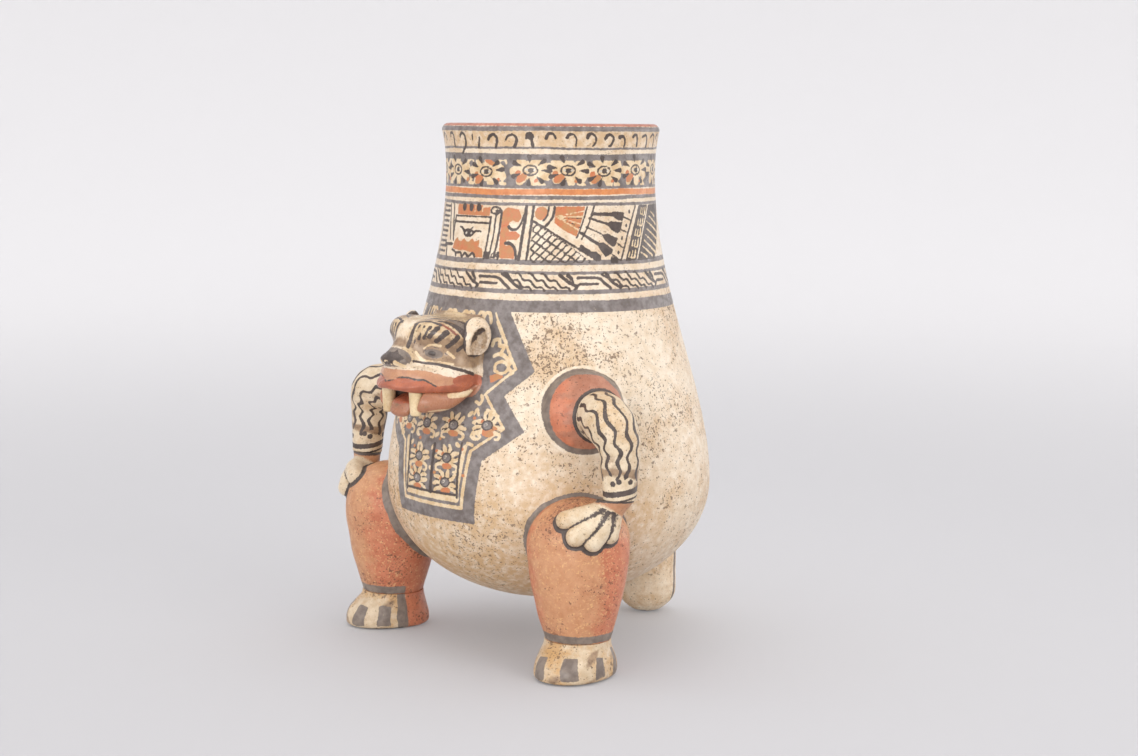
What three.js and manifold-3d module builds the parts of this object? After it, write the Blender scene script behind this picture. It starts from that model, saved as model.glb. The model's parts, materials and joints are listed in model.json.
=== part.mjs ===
// A three-legged clay vessel in the form of a spotted cat, made as the potter's separate pieces.
// Millimetres, +Z up. The animal faces -Y, so its left side is +X. The pot's axis is x = 0, y = 0
// while the pieces are made, and the floor is z = 0.
import * as THREE from 'three';
import { mergeVertices } from 'three/addons/utils/BufferGeometryUtils.js';
import Module from 'manifold-3d';

const wasm = await Module();
wasm.setup();

// Vessel
const POT_HEIGHT = 330;
const RIM_RADIUS = 69;
const WAIST_RADIUS = 66.4;
const WAIST_DROP = 30; // from the rim down to the narrowest part of the neck
const BELLY_RADIUS = 104;
const BELLY_LEVEL = 103; // height of the widest part
const UNDERSIDE = 27; // height of the bowl's lowest point
const WALL = 7;
const LIP_THICKNESS = 8.6;
const SEAM_LEVEL = 216.7; // where the neck is built on the bowl
const SEAM_BEVEL = 4; // rise of the bevelled seam from outside to inside
const GAP = 0.3; // between pieces that touch

// Head
const HEAD_LEVEL = 190; // height of the nose tip, which the other heights of the head go by
const SKULL_REACH = 35; // from the vessel's wall to the forehead
const SKULL_HALF_WIDTH = 30.5;
const CROWN_RISE = 22.5;
const MOUTH_DROP = 18.5; // from the nose tip down to the mouth
const LIP_REACH = 48; // from the vessel's wall to the front of the upper lip
const LIP_HALF_WIDTH = 31.5;
const LIP_HEIGHT = 14;
const NOSE_REACH = 49;
const NOSE_HALF_WIDTH = 10.5;
const JAW_REACH = 32; // from the vessel's wall to where the tongue comes out
const JAW_DEPTH = 14.5;
const TONGUE_REACH = 42.5;
const TONGUE_HALF_WIDTH = 10;
const FANG_LENGTH = 16;
const FANG_SET_IN = 7; // length of the root in the lip
const FANG_ROOT_RADIUS = 4.6;
const FANG_TIP_RADIUS = 2.9;
const FANG_SPREAD = 12.8; // from the middle of the mouth
const FANG_SETBACK = 12; // behind the front of the upper lip
const EAR_HEIGHT = 28;
const EAR_WIDTH = 17;
const EAR_THICKNESS = 11;
const EAR_RIM = 3; // width of the edge round the ear's hollow

// Shoulders, arms and hands
const SHOULDER_ANGLE = 60; // degrees round from the front
const SHOULDER_LEVEL = 158;
const SHOULDER_RADIUS = 25.5;
const SHOULDER_RISE = 13;
const SHOULDER_TILT = -8; // degrees that the dome faces up, square to the wall
const ARM_ANGLE = 64;
const ARM_RADIUS = 15.2;
const FOREARM_RADIUS = 9.8;
const ARM_STANDOFF = 29; // from the vessel's wall to the upper arm's centre line
const ELBOW_LEVEL = 134;
const WRIST_LEVEL = 111;
const FINGER_RADIUS = 6;

// Legs
const LEG_ANGLE = 56.8;
const LEG_OUTSET = 2; // the front legs' centre lines stand this far outside the belly
const THIGH_RADIUS = 31;
const THIGH_LEVEL = 82; // height of the thickest part of the thigh
const THIGH_TOP = 108.5;
const ANKLE_RADIUS = 19.8;
const ANKLE_LEVEL = 23;
const LEG_WALL = 6.5;
const FOOT_LENGTH = 55;
const FOOT_WIDTH = 46;
const HEEL_SHARE = 0.42; // of the foot's length that lies behind the ankle's centre
const FOOT_TURN = 16; // degrees that the toes turn out
const TAIL_LEG_RADIUS = 19.8;
const TAIL_LEG_INSET = 12; // its centre line stands this far inside the belly
const TAIL_SOLE_RADIUS = 12;
const TAIL_FLOOR = 9; // thickness of clay under the tail leg's hollow
const VENT_WIDTH = 4;
const VENT_HEIGHT = 20;
const LEG_VENT_LEVEL = 58; // height of the slit's middle in a front leg
const TAIL_VENT_LEVEL = 26;
const PELLET_RADIUS = 4;
const PELLETS_PER_LEG = 2;
const PELLET_SPACING = 10.4;
const PELLET_OFFSET = 2; // outwards from the leg's centre line

// Facets
const LATHE_STEPS = 42;
const RING_SIDES = 18;

const CREAM = new THREE.MeshStandardMaterial({ color: 0xe2cfa8, roughness: 0.45, metalness: 0 });
const RED = new THREE.MeshStandardMaterial({ color: 0xc4694a, roughness: 0.45, metalness: 0 });
const BARE_CLAY = new THREE.MeshStandardMaterial({ color: 0x9c6a4c, roughness: 0.85, metalness: 0 });

const radians = THREE.MathUtils.degToRad;
const lerp = THREE.MathUtils.lerp;

// A point at a given angle round from the front, distance from the pot's axis and height.
function around(degrees, radius, height) {
  const angle = radians(degrees);
  return new THREE.Vector3(radius * Math.sin(angle), -radius * Math.cos(angle), height);
}

// Solids

// A closed geometry becomes a solid whose faces point out.
function solid(geometry) {
  const bare = geometry.clone();
  bare.deleteAttribute('normal');
  bare.deleteAttribute('uv');
  const merged = mergeVertices(bare, 1e-4);
  const places = merged.attributes.position;
  const faces = [];
  let volume = 0;
  const corner = [new THREE.Vector3(), new THREE.Vector3(), new THREE.Vector3()];
  for (let i = 0; i < merged.index.count; i += 3) {
    const face = [0, 1, 2].map((k) => merged.index.getX(i + k));
    if (face[0] === face[1] || face[1] === face[2] || face[2] === face[0]) continue;
    face.forEach((vertex, k) => corner[k].fromBufferAttribute(places, vertex));
    volume += corner[0].dot(corner[1].clone().cross(corner[2]));
    faces.push(face);
  }
  if (volume < 0) faces.forEach((face) => face.reverse());
  return new wasm.Manifold(new wasm.Mesh({
    numProp: 3,
    vertProperties: new Float32Array(places.array),
    triVerts: new Uint32Array(faces.flat()),
  }));
}

// A solid becomes a named mesh.
function piece(name, form, material) {
  const result = form.getMesh();
  const geometry = new THREE.BufferGeometry();
  geometry.setAttribute('position', new THREE.BufferAttribute(result.vertProperties, 3));
  geometry.setIndex(new THREE.BufferAttribute(result.triVerts, 1));
  geometry.computeVertexNormals();
  const mesh = new THREE.Mesh(geometry, material);
  mesh.name = name;
  return mesh;
}

// The union of several solids.
function joined(forms) {
  return forms.reduce((whole, form) => whole.add(form));
}

// A solid mirrored to the animal's other side.
function mirrored(form) {
  return form.mirror([1, 0, 0]);
}

// A profile of (radius, height) points turned round the pot's axis.
function turned(points) {
  const geometry = new THREE.LatheGeometry(points, LATHE_STEPS);
  geometry.rotateX(Math.PI / 2);
  return solid(geometry);
}

// A closed skin over rings of points that all have the same number of points.
function skinned(rings) {
  const sides = rings[0].length;
  const points = rings.flat();
  const faces = [];
  for (let ring = 0; ring < rings.length - 1; ring += 1) {
    for (let side = 0; side < sides; side += 1) {
      const a = ring * sides + side;
      const b = ring * sides + ((side + 1) % sides);
      faces.push(a, b, b + sides, a, b + sides, a + sides);
    }
  }
  for (const ring of [0, rings.length - 1]) {
    const middle = rings[ring].reduce((sum, point) => sum.add(point), new THREE.Vector3());
    const pole = points.push(middle.divideScalar(sides)) - 1;
    for (let side = 0; side < sides; side += 1) {
      const a = ring * sides + side;
      const b = ring * sides + ((side + 1) % sides);
      if (ring === 0) faces.push(pole, b, a);
      else faces.push(pole, a, b);
    }
  }
  const geometry = new THREE.BufferGeometry().setFromPoints(points);
  geometry.setIndex(faces);
  return solid(geometry);
}

// A ring of points round a centre: a circle for power 2, squarer for more.
function ring(centre, across, up, down = up, power = 2, sides = RING_SIDES) {
  const points = [];
  for (let side = 0; side < sides; side += 1) {
    const angle = (2 * Math.PI * side) / sides;
    const c = Math.sign(Math.cos(angle)) * Math.abs(Math.cos(angle)) ** (2 / power);
    const s = Math.sign(Math.sin(angle)) * Math.abs(Math.sin(angle)) ** (2 / power);
    points.push(centre.clone().addScaledVector(across, c).addScaledVector(s > 0 ? up : down, s));
  }
  return points;
}

// A smooth curve through points.
function smooth(path) {
  return new THREE.CatmullRomCurve3(path, false, 'centripetal');
}

// A roll of clay along a smooth path, with a radius at each of its points. Its start is round,
// and its end is round or cut flat.
function rolled(path, radii, { steps = 10, sides = 12, flatEnd = false } = {}) {
  const curve = smooth(path);
  const frames = curve.computeFrenetFrames(steps);
  const rings = [];
  const endAngles = [80, 50, 25];
  const addRing = (step, shift, scale) => {
    const t = step / steps;
    const span = t * (radii.length - 1);
    const low = Math.min(Math.floor(span), radii.length - 2);
    const radius = lerp(radii[low], radii[low + 1], span - low);
    const centre = curve.getPoint(t).addScaledVector(frames.tangents[step], shift * radius);
    const across = frames.normals[step].clone().multiplyScalar(radius * scale);
    const up = frames.binormals[step].clone().multiplyScalar(radius * scale);
    rings.push(ring(centre, across, up, up, 2, sides));
  };
  for (const angle of endAngles) addRing(0, -Math.sin(radians(angle)), Math.cos(radians(angle)));
  for (let step = 0; step <= steps; step += 1) addRing(step, 0, 1);
  if (!flatEnd) {
    for (const angle of [...endAngles].reverse()) {
      addRing(steps, Math.sin(radians(angle)), Math.cos(radians(angle)));
    }
  }
  return skinned(rings);
}

// An ellipsoid with the given half sizes, turned about the axes and moved to its place.
function ellipsoid(halfSizes, centre, turn = [0, 0, 0], across = 16, down = 10) {
  const geometry = new THREE.SphereGeometry(1, across, down);
  geometry.rotateX(Math.PI / 2);
  geometry.scale(...halfSizes);
  return solid(geometry).rotate(turn).translate(centre.toArray());
}

// A box centred on a point.
function block(sizes, centre) {
  return solid(new THREE.BoxGeometry(...sizes)).translate(centre.toArray());
}

// Vessel wall

const waistLevel = POT_HEIGHT - WAIST_DROP;
const lipRadius = LIP_THICKNESS / 2;
const lipLevel = POT_HEIGHT - lipRadius;
const shoulderPull = 0.29; // how far up the belly's curve stays upright, as a share of its height
const waistPull = 0.38; // how far down the neck's curve stays upright
const rise = waistLevel - BELLY_LEVEL;
const point = (radius, height) => new THREE.Vector2(radius, height);

const lowerCurve = new THREE.EllipseCurve(
  0, BELLY_LEVEL, BELLY_RADIUS, BELLY_LEVEL - UNDERSIDE, -Math.PI / 2, 0,
);
const upperCurve = new THREE.CubicBezierCurve(
  point(BELLY_RADIUS, BELLY_LEVEL),
  point(BELLY_RADIUS, BELLY_LEVEL + rise * shoulderPull),
  point(WAIST_RADIUS, waistLevel - rise * waistPull),
  point(WAIST_RADIUS, waistLevel),
);
const flareCurve = new THREE.QuadraticBezierCurve(
  point(WAIST_RADIUS, waistLevel),
  point(WAIST_RADIUS, lerp(waistLevel, lipLevel, 0.6)),
  point(RIM_RADIUS, lipLevel),
);

// The outside of the vessel, from the middle of its underside up to the lip.
const outside = [
  ...lowerCurve.getPoints(10),
  ...upperCurve.getPoints(16).slice(1),
  ...flareCurve.getPoints(3).slice(1),
];

// The profile moved along its own normal: out for a positive distance.
function offsetProfile(points, distanceAt) {
  return points.map((place, i) => {
    const before = points[Math.max(i - 1, 0)];
    const after = points[Math.min(i + 1, points.length - 1)];
    const tangent = after.clone().sub(before).normalize();
    if (place.x < 1e-6) tangent.set(1, 0);
    const normal = point(tangent.y, -tangent.x);
    return place.clone().addScaledVector(normal, distanceAt(place));
  });
}

// The radius at a height, on a profile whose heights rise all the way.
function radiusAt(points, height) {
  for (let i = 1; i < points.length; i += 1) {
    if (points[i].y >= height) {
      const share = (height - points[i - 1].y) / (points[i].y - points[i - 1].y);
      return lerp(points[i - 1].x, points[i].x, share);
    }
  }
  return points[points.length - 1].x;
}

const wallRadius = (height) => radiusAt(outside, height);
const wallThickness = (place) => {
  const share = THREE.MathUtils.smoothstep(place.y, waistLevel, lipLevel);
  return lerp(WALL, LIP_THICKNESS, share);
};
const inside = offsetProfile(outside, (place) => -wallThickness(place));

// The points of a profile between two heights, with a point on each.
function stretch(points, from, to) {
  return [
    point(radiusAt(points, from), from),
    ...points.filter((place) => place.y > from && place.y < to),
    point(radiusAt(points, to), to),
  ];
}

function bowl() {
  const outer = outside.filter((place) => place.y < SEAM_LEVEL);
  outer.push(point(wallRadius(SEAM_LEVEL), SEAM_LEVEL));
  const innerTop = SEAM_LEVEL + SEAM_BEVEL;
  const inner = inside.filter((place, i) => place.y < innerTop && i % 2 === 0);
  inner.push(point(radiusAt(inside, innerTop), innerTop));
  return turned([...outer, ...inner.reverse()]);
}

function neck() {
  const outer = stretch(outside, SEAM_LEVEL + GAP, lipLevel);
  const inner = stretch(inside, SEAM_LEVEL + SEAM_BEVEL + GAP, lipLevel - GAP);
  const lipCentre = point(RIM_RADIUS - lipRadius, lipLevel);
  const lip = [30, 60, 90, 120, 150].map((degrees) => point(
    lipCentre.x + lipRadius * Math.cos(radians(degrees)),
    lipCentre.y + lipRadius * Math.sin(radians(degrees)),
  ));
  return turned([...outer, ...lip, ...inner.reverse(), outer[0].clone()]);
}

// What the bowl and neck fill, with the gap that other pieces keep to them.
const vesselSpace = (() => {
  const outer = offsetProfile(outside, () => GAP);
  return turned([...outer, point(0, lipLevel)]);
})();

// Head

const headRoot = wallRadius(HEAD_LEVEL); // the wall's front, where the head is luted on
const mouthLevel = HEAD_LEVEL - MOUTH_DROP;
const ahead = (distance, height, x = 0) => new THREE.Vector3(x, -(headRoot + distance), height);
const X = new THREE.Vector3(1, 0, 0);
const Z = new THREE.Vector3(0, 0, 1);

// An upright ring of the head, at a distance in front of the wall.
function headRing(distance, halfWidth, top, bottom, power = 2.4) {
  const halfHeight = Z.clone().multiplyScalar((top - bottom) / 2);
  return ring(
    ahead(distance, (top + bottom) / 2), X.clone().multiplyScalar(halfWidth), halfHeight, halfHeight,
    power, 18,
  );
}

// A blunt form that grows out of the wall: an oval in plan, with a rounded front. Its top and
// bottom come nearer each other towards the front by the given bluntness, and reach those heights.
function snout({ reach, halfWidth, top, bottom, frontTop, frontBottom, bluntness, power, grow = 0 }) {
  const rings = [headRing(-12, halfWidth + grow, top + grow, bottom - grow, power)];
  for (const degrees of [4, 22, 40, 55, 67, 77, 85]) {
    const along = Math.sin(radians(degrees));
    const round = Math.cos(radians(degrees));
    const highest = lerp(top, frontTop, along ** 2);
    const lowest = lerp(bottom, frontBottom, along ** 2);
    const centre = (highest + lowest) / 2;
    const halfHeight = ((highest - lowest) / 2 + grow) * round ** bluntness;
    rings.push(headRing(
      (reach + grow) * along, (halfWidth + grow) * round, centre + halfHeight, centre - halfHeight, power,
    ));
  }
  return skinned(rings);
}

function skull(grow = 0) {
  return snout({
    reach: SKULL_REACH,
    halfWidth: SKULL_HALF_WIDTH,
    top: HEAD_LEVEL + CROWN_RISE,
    bottom: mouthLevel + 3,
    frontTop: HEAD_LEVEL + CROWN_RISE - 2,
    frontBottom: mouthLevel + 8,
    bluntness: 0.35,
    power: 2.5,
    grow,
  });
}

function upperLip(grow = 0) {
  return snout({
    reach: LIP_REACH,
    halfWidth: LIP_HALF_WIDTH,
    top: mouthLevel + LIP_HEIGHT,
    bottom: mouthLevel,
    frontTop: mouthLevel + LIP_HEIGHT - 1.5,
    frontBottom: mouthLevel,
    bluntness: 0.3,
    power: 2.6,
    grow,
  });
}

function nose() {
  const stations = [
    [NOSE_REACH - 24, 0.75, 11, -6],
    [NOSE_REACH - 14, 0.8, 6.5, -8],
    [NOSE_REACH - 7, 1.0, 4.5, -9],
    [NOSE_REACH - 2, 0.86, 3, -9],
    [NOSE_REACH, 0.5, 0.5, -7],
  ];
  return skinned(stations.map(([distance, width, top, bottom]) => headRing(
    distance, width * NOSE_HALF_WIDTH, HEAD_LEVEL + top, HEAD_LEVEL + bottom,
  )));
}

// The two ridges over the eyes, which run down towards the ears.
function brow() {
  const centre = ahead(SKULL_REACH - 14, HEAD_LEVEL + 12.5, SKULL_HALF_WIDTH * 0.58);
  return ellipsoid([13, 6.8, 5.5], centre, [0, 22, 38], 12, 8);
}

function eye() {
  const centre = ahead(SKULL_REACH - 10, HEAD_LEVEL + 3, SKULL_HALF_WIDTH * 0.58);
  return ellipsoid([7.5, 3.2, 4], centre, [0, 12, 42], 12, 8);
}

function lowerJaw() {
  const top = mouthLevel - GAP - 0.4;
  const cheeks = snout({
    reach: JAW_REACH,
    halfWidth: LIP_HALF_WIDTH - 2,
    top,
    bottom: top - JAW_DEPTH + 2,
    frontTop: top - 1,
    frontBottom: top - JAW_DEPTH,
    bluntness: 0.3,
    power: 2.4,
  });
  const tongue = skinned([
    [JAW_REACH - 16, 0.9, 3, 15],
    [JAW_REACH, 1, 3, 17],
    [TONGUE_REACH - 4, 0.95, 4.5, 17],
    [TONGUE_REACH - 1, 0.75, 6.5, 14.5],
    [TONGUE_REACH, 0.4, 8.5, 12],
  ].map(([distance, width, drop, depth]) => headRing(
    distance, width * TONGUE_HALF_WIDTH, top - drop, top - depth,
  )));
  return cheeks.add(tongue);
}

function fang(grow = 0) {
  const root = ahead(LIP_REACH - FANG_SETBACK, mouthLevel + FANG_SET_IN + grow, FANG_SPREAD);
  const tip = ahead(LIP_REACH - FANG_SETBACK - 1.5, mouthLevel - FANG_LENGTH, FANG_SPREAD);
  const rings = [0, 0.3, 0.75, 1].map((share) => {
    const radius = lerp(FANG_ROOT_RADIUS, FANG_TIP_RADIUS, share) + grow;
    return ring(
      root.clone().lerp(tip, share), X.clone().multiplyScalar(radius),
      new THREE.Vector3(0, -radius, 0), undefined, 2.4, 12,
    );
  });
  return skinned(rings);
}

function ear() {
  const centre = ahead(-2.5, HEAD_LEVEL + 12.5, SKULL_HALF_WIDTH - 2);
  const lean = [12, 8, 32];
  const outer = ellipsoid([EAR_WIDTH / 2, EAR_THICKNESS / 2, EAR_HEIGHT / 2], centre, lean, 14, 8);
  const opening = centre.clone().add(new THREE.Vector3(2.6, -4.2, -0.8));
  const hollow = ellipsoid(
    [EAR_WIDTH / 2 - EAR_RIM, EAR_THICKNESS / 2, EAR_HEIGHT / 2 - EAR_RIM - 1], opening, lean, 12, 6,
  );
  return outer.subtract(hollow);
}

// Shoulders, arms and hands of the left side

function shoulder(grow = 0) {
  const centre = around(SHOULDER_ANGLE, wallRadius(SHOULDER_LEVEL) - 3, SHOULDER_LEVEL);
  const profile = [point(0, SHOULDER_RISE + 3 + grow)];
  for (const degrees of [72, 54, 36, 20]) {
    profile.push(point(
      (SHOULDER_RADIUS + grow) * Math.cos(radians(degrees)) ** 0.8,
      (SHOULDER_RISE + 3 + grow) * Math.sin(radians(degrees)) ** 0.9,
    ));
  }
  profile.push(point(SHOULDER_RADIUS + 0.5 + grow, 0), point(SHOULDER_RADIUS + grow, -10), point(0, -10));
  const geometry = new THREE.LatheGeometry(profile.reverse(), 28);
  return solid(geometry).rotate([180, 0, 0]).rotate([SHOULDER_TILT, 0, 0]).rotate([0, 0, SHOULDER_ANGLE])
    .translate(centre.toArray());
}

const armWall = wallRadius(SHOULDER_LEVEL);
const wristPoint = around(ARM_ANGLE + 1.4, armWall + ARM_STANDOFF + 7.5, WRIST_LEVEL);

const armPath = [
  around(ARM_ANGLE - 1, armWall, SHOULDER_LEVEL - 2),
  around(ARM_ANGLE - 0.5, armWall + ARM_STANDOFF * 0.45, SHOULDER_LEVEL - 1),
  around(ARM_ANGLE, armWall + ARM_STANDOFF, SHOULDER_LEVEL - 4),
  around(ARM_ANGLE + 1.6, armWall + ARM_STANDOFF + 5, lerp(ELBOW_LEVEL, SHOULDER_LEVEL, 0.4)),
  around(ARM_ANGLE + 1.6, armWall + ARM_STANDOFF + 6.5, ELBOW_LEVEL - 6),
  wristPoint,
];

function arm() {
  const radii = [1, 1, 0.9, 0.55, 0.25, 0].map((share) => lerp(FOREARM_RADIUS, ARM_RADIUS, share));
  return rolled(armPath, radii, { steps: 11, sides: 14, flatEnd: true });
}

const legCentre = around(LEG_ANGLE, BELLY_RADIUS + LEG_OUTSET, 0);

// A place on the thigh, at an angle round the leg from straight ahead.
function onThigh(degrees, height, lift = 0) {
  return around(degrees, legRadius(height) + lift, height).add(legCentre);
}

// The hand starts where the arm is cut off, and its fingers fan out over the thigh.
function hand() {
  const along = smooth(armPath).getTangent(1);
  const knuckle = wristPoint.clone().lerp(onThigh(75, WRIST_LEVEL - 10), 0.45);
  knuckle.z = WRIST_LEVEL - 6;
  const tips = [
    [28, WRIST_LEVEL - 12],
    [43, WRIST_LEVEL - 20.5],
    [62, WRIST_LEVEL - 23.5],
    [83, WRIST_LEVEL - 20],
  ];
  const fingers = tips.map(([degrees, height], i) => {
    const tip = onThigh(degrees, height, 1);
    const middle = knuckle.clone().lerp(tip, 0.55);
    middle.add(middle.clone().sub(legCentre).setZ(0).normalize().multiplyScalar(3.5 - i));
    const radii = [FINGER_RADIUS, FINGER_RADIUS + 0.8, FINGER_RADIUS];
    return rolled([knuckle, middle, tip], radii, { steps: 3, sides: 9 });
  });
  const palm = rolled(
    [wristPoint.clone().addScaledVector(along, -4), knuckle],
    [FOREARM_RADIUS, FINGER_RADIUS + 2.2], { steps: 2 },
  );
  const seam = along.dot(wristPoint) + GAP;
  return joined([palm, ...fingers]).trimByPlane(along.toArray(), seam);
}

// Legs

// The front leg's outer radius, from the ankle up over the round top of the thigh.
function legRadius(height) {
  if (height <= THIGH_LEVEL) {
    const share = Math.max(0, (height - ANKLE_LEVEL) / (THIGH_LEVEL - ANKLE_LEVEL));
    return lerp(ANKLE_RADIUS, THIGH_RADIUS, Math.sin((Math.PI / 2) * share));
  }
  const share = Math.min(1, (height - THIGH_LEVEL) / (THIGH_TOP - THIGH_LEVEL));
  return THIGH_RADIUS * Math.sqrt(1 - share * share);
}

function legForm(bottom, grow = 0) {
  const heights = [bottom];
  for (const share of [0.14, 0.3, 0.5, 0.75, 1]) heights.push(lerp(ANKLE_LEVEL, THIGH_LEVEL, share));
  for (const degrees of [25, 45, 62, 76]) {
    heights.push(THIGH_LEVEL + (THIGH_TOP - THIGH_LEVEL) * Math.sin(radians(degrees)));
  }
  const rings = heights.map((height) => {
    const radius = legRadius(height) + grow;
    const lift = height > THIGH_LEVEL ? grow * Math.min(1, (height - THIGH_LEVEL) / 20) : 0;
    const centre = new THREE.Vector3(legCentre.x, legCentre.y, height + lift);
    return ring(centre, X.clone().multiplyScalar(radius), new THREE.Vector3(0, radius, 0));
  });
  return skinned(rings);
}

function frontLeg() {
  const vent = block(
    [VENT_WIDTH, 3 * LEG_WALL, VENT_HEIGHT],
    new THREE.Vector3(legCentre.x, legCentre.y + legRadius(LEG_VENT_LEVEL) - LEG_WALL / 2, LEG_VENT_LEVEL),
  );
  return legForm(ANKLE_LEVEL)
    .subtract(vesselSpace)
    .subtract(legForm(ANKLE_LEVEL - 5, -LEG_WALL))
    .subtract(vent);
}

function foot() {
  const turnOut = radians(FOOT_TURN);
  const forward = new THREE.Vector3(Math.sin(turnOut), -Math.cos(turnOut), 0);
  const sideways = new THREE.Vector3(Math.cos(turnOut), Math.sin(turnOut), 0);
  const top = ANKLE_LEVEL - GAP;
  // height, half width, reach of the toes, reach of the heel, all from the ankle's centre
  const heel = FOOT_LENGTH * HEEL_SHARE;
  const toes = FOOT_LENGTH - heel;
  const rings = [
    [0, FOOT_WIDTH / 2 - 2, toes - 2.5, heel - 2],
    [2.5, FOOT_WIDTH / 2, toes, heel],
    [top * 0.35, FOOT_WIDTH / 2, toes - 0.8, heel],
    [top * 0.62, FOOT_WIDTH / 2 - 1.2, toes - 4.5, heel - 1.5],
    [top * 0.85, ANKLE_RADIUS + 0.4, ANKLE_RADIUS + 1.5, ANKLE_RADIUS + 0.4],
    [top, ANKLE_RADIUS, ANKLE_RADIUS, ANKLE_RADIUS],
  ].map(([height, halfWidth, front, back]) => ring(
    new THREE.Vector3(legCentre.x, legCentre.y, height),
    sideways.clone().multiplyScalar(halfWidth),
    forward.clone().multiplyScalar(front),
    forward.clone().multiplyScalar(back),
    2.15, 28,
  ));
  return skinned(rings);
}

const tailCentre = around(180, BELLY_RADIUS - TAIL_LEG_INSET, 0);

function tailForm(floor, soleRadius, grow = 0) {
  const stations = [
    [floor, soleRadius],
    [floor + 2.2, lerp(soleRadius, TAIL_LEG_RADIUS, 0.5)],
    [floor + 7, lerp(soleRadius, TAIL_LEG_RADIUS, 0.82)],
    [18, TAIL_LEG_RADIUS],
    [34, TAIL_LEG_RADIUS],
    [52, TAIL_LEG_RADIUS - 1],
    [66, TAIL_LEG_RADIUS - 4],
    [74, TAIL_LEG_RADIUS - 9],
  ];
  return skinned(stations.map(([height, radius]) => ring(
    new THREE.Vector3(tailCentre.x, tailCentre.y, height),
    X.clone().multiplyScalar(radius + grow), new THREE.Vector3(0, radius + grow, 0),
  )));
}

function tailLeg() {
  const vent = block(
    [3 * LEG_WALL, VENT_WIDTH, VENT_HEIGHT],
    new THREE.Vector3(tailCentre.x - TAIL_LEG_RADIUS + LEG_WALL / 2, tailCentre.y, TAIL_VENT_LEVEL),
  );
  return tailForm(0, TAIL_SOLE_RADIUS)
    .subtract(vesselSpace)
    .subtract(tailForm(TAIL_FLOOR, TAIL_LEG_RADIUS - 2, -LEG_WALL))
    .subtract(vent);
}

// A loose ball in a leg, resting on the floor of the hollow.
function pellet(centre, floor, index) {
  const side = (index - (PELLETS_PER_LEG - 1) / 2) * PELLET_SPACING;
  const place = new THREE.Vector3(centre.x, centre.y, floor + GAP + PELLET_RADIUS);
  const outwards = new THREE.Vector3(centre.x, centre.y, 0).normalize();
  place.addScaledVector(outwards, PELLET_OFFSET).addScaledVector(new THREE.Vector3(-outwards.y, outwards.x, 0), side);
  return ellipsoid([PELLET_RADIUS, PELLET_RADIUS, PELLET_RADIUS], place, [0, 0, 0], 10, 6);
}

// Assembly

const pot = new THREE.Group();
pot.add(piece('belly_bowl', bowl(), CREAM));
pot.add(piece('neck', neck(), CREAM));

const face = joined([brow(), eye()]);
const skullAndLip = joined([skull(), upperLip(), nose(), face, mirrored(face)]);
const sockets = joined([fang(GAP), mirrored(fang(GAP))]);
const headSpace = joined([skull(GAP), upperLip(GAP), nose()]);
pot.add(piece('head', skullAndLip.subtract(vesselSpace).subtract(sockets), CREAM));
pot.add(piece('lower_jaw', lowerJaw().subtract(vesselSpace).subtract(sockets).subtract(headSpace), RED));

const legSpace = legForm(ANKLE_LEVEL, GAP);
const leftPieces = {
  fang: [fang(), CREAM],
  ear: [ear().subtract(headSpace).subtract(vesselSpace), CREAM],
  shoulder: [shoulder().subtract(vesselSpace), RED],
  arm: [arm().subtract(shoulder(GAP)).subtract(vesselSpace), CREAM],
  hand: [hand().subtract(legSpace).subtract(vesselSpace), CREAM],
  front_leg: [frontLeg(), RED],
  foot: [foot(), CREAM],
};
for (const [name, [form, material]] of Object.entries(leftPieces)) {
  pot.add(piece(`${name}_left`, form, material));
  pot.add(piece(`${name}_right`, mirrored(form), material));
}
pot.add(piece('tail_leg', tailLeg(), CREAM));

for (let index = 0; index < PELLETS_PER_LEG; index += 1) {
  const front = pellet(legCentre, ANKLE_LEVEL - GAP, index);
  pot.add(piece(`rattle_pellet_left_${index + 1}`, front, BARE_CLAY));
  pot.add(piece(`rattle_pellet_right_${index + 1}`, mirrored(front), BARE_CLAY));
  pot.add(piece(`rattle_pellet_tail_${index + 1}`, pellet(tailCentre, TAIL_FLOOR, index), BARE_CLAY));
}

// The origin goes to the middle of the whole pot's outline on the floor.
const box = new THREE.Box3().setFromObject(pot, true);
const middle = box.getCenter(new THREE.Vector3());
pot.position.set(-middle.x, -middle.y, -box.min.z);

export default pot;
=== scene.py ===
import json
import math

import bpy
import numpy as np
from mathutils import Matrix, Vector


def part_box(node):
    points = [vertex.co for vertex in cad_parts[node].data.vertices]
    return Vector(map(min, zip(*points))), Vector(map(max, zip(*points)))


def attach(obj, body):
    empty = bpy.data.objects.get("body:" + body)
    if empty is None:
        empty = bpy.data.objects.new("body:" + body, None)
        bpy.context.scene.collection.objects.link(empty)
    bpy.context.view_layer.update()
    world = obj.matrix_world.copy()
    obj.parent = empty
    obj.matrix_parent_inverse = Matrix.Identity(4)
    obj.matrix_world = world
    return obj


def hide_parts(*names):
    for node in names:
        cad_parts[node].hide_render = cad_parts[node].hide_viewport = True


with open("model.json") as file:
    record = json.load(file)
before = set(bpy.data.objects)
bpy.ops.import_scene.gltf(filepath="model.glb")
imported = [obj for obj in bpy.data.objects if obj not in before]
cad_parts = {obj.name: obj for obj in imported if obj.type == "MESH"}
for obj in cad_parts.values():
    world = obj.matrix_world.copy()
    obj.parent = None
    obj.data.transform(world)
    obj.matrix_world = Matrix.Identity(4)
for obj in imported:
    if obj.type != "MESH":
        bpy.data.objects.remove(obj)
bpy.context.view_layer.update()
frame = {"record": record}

MM = 0.001
neck_low, neck_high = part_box("neck")
AXIS = np.array([(neck_low.x + neck_high.x) / 2, (neck_low.y + neck_high.y) / 2, 0.0]) / MM
BODY = "pot"

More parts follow.
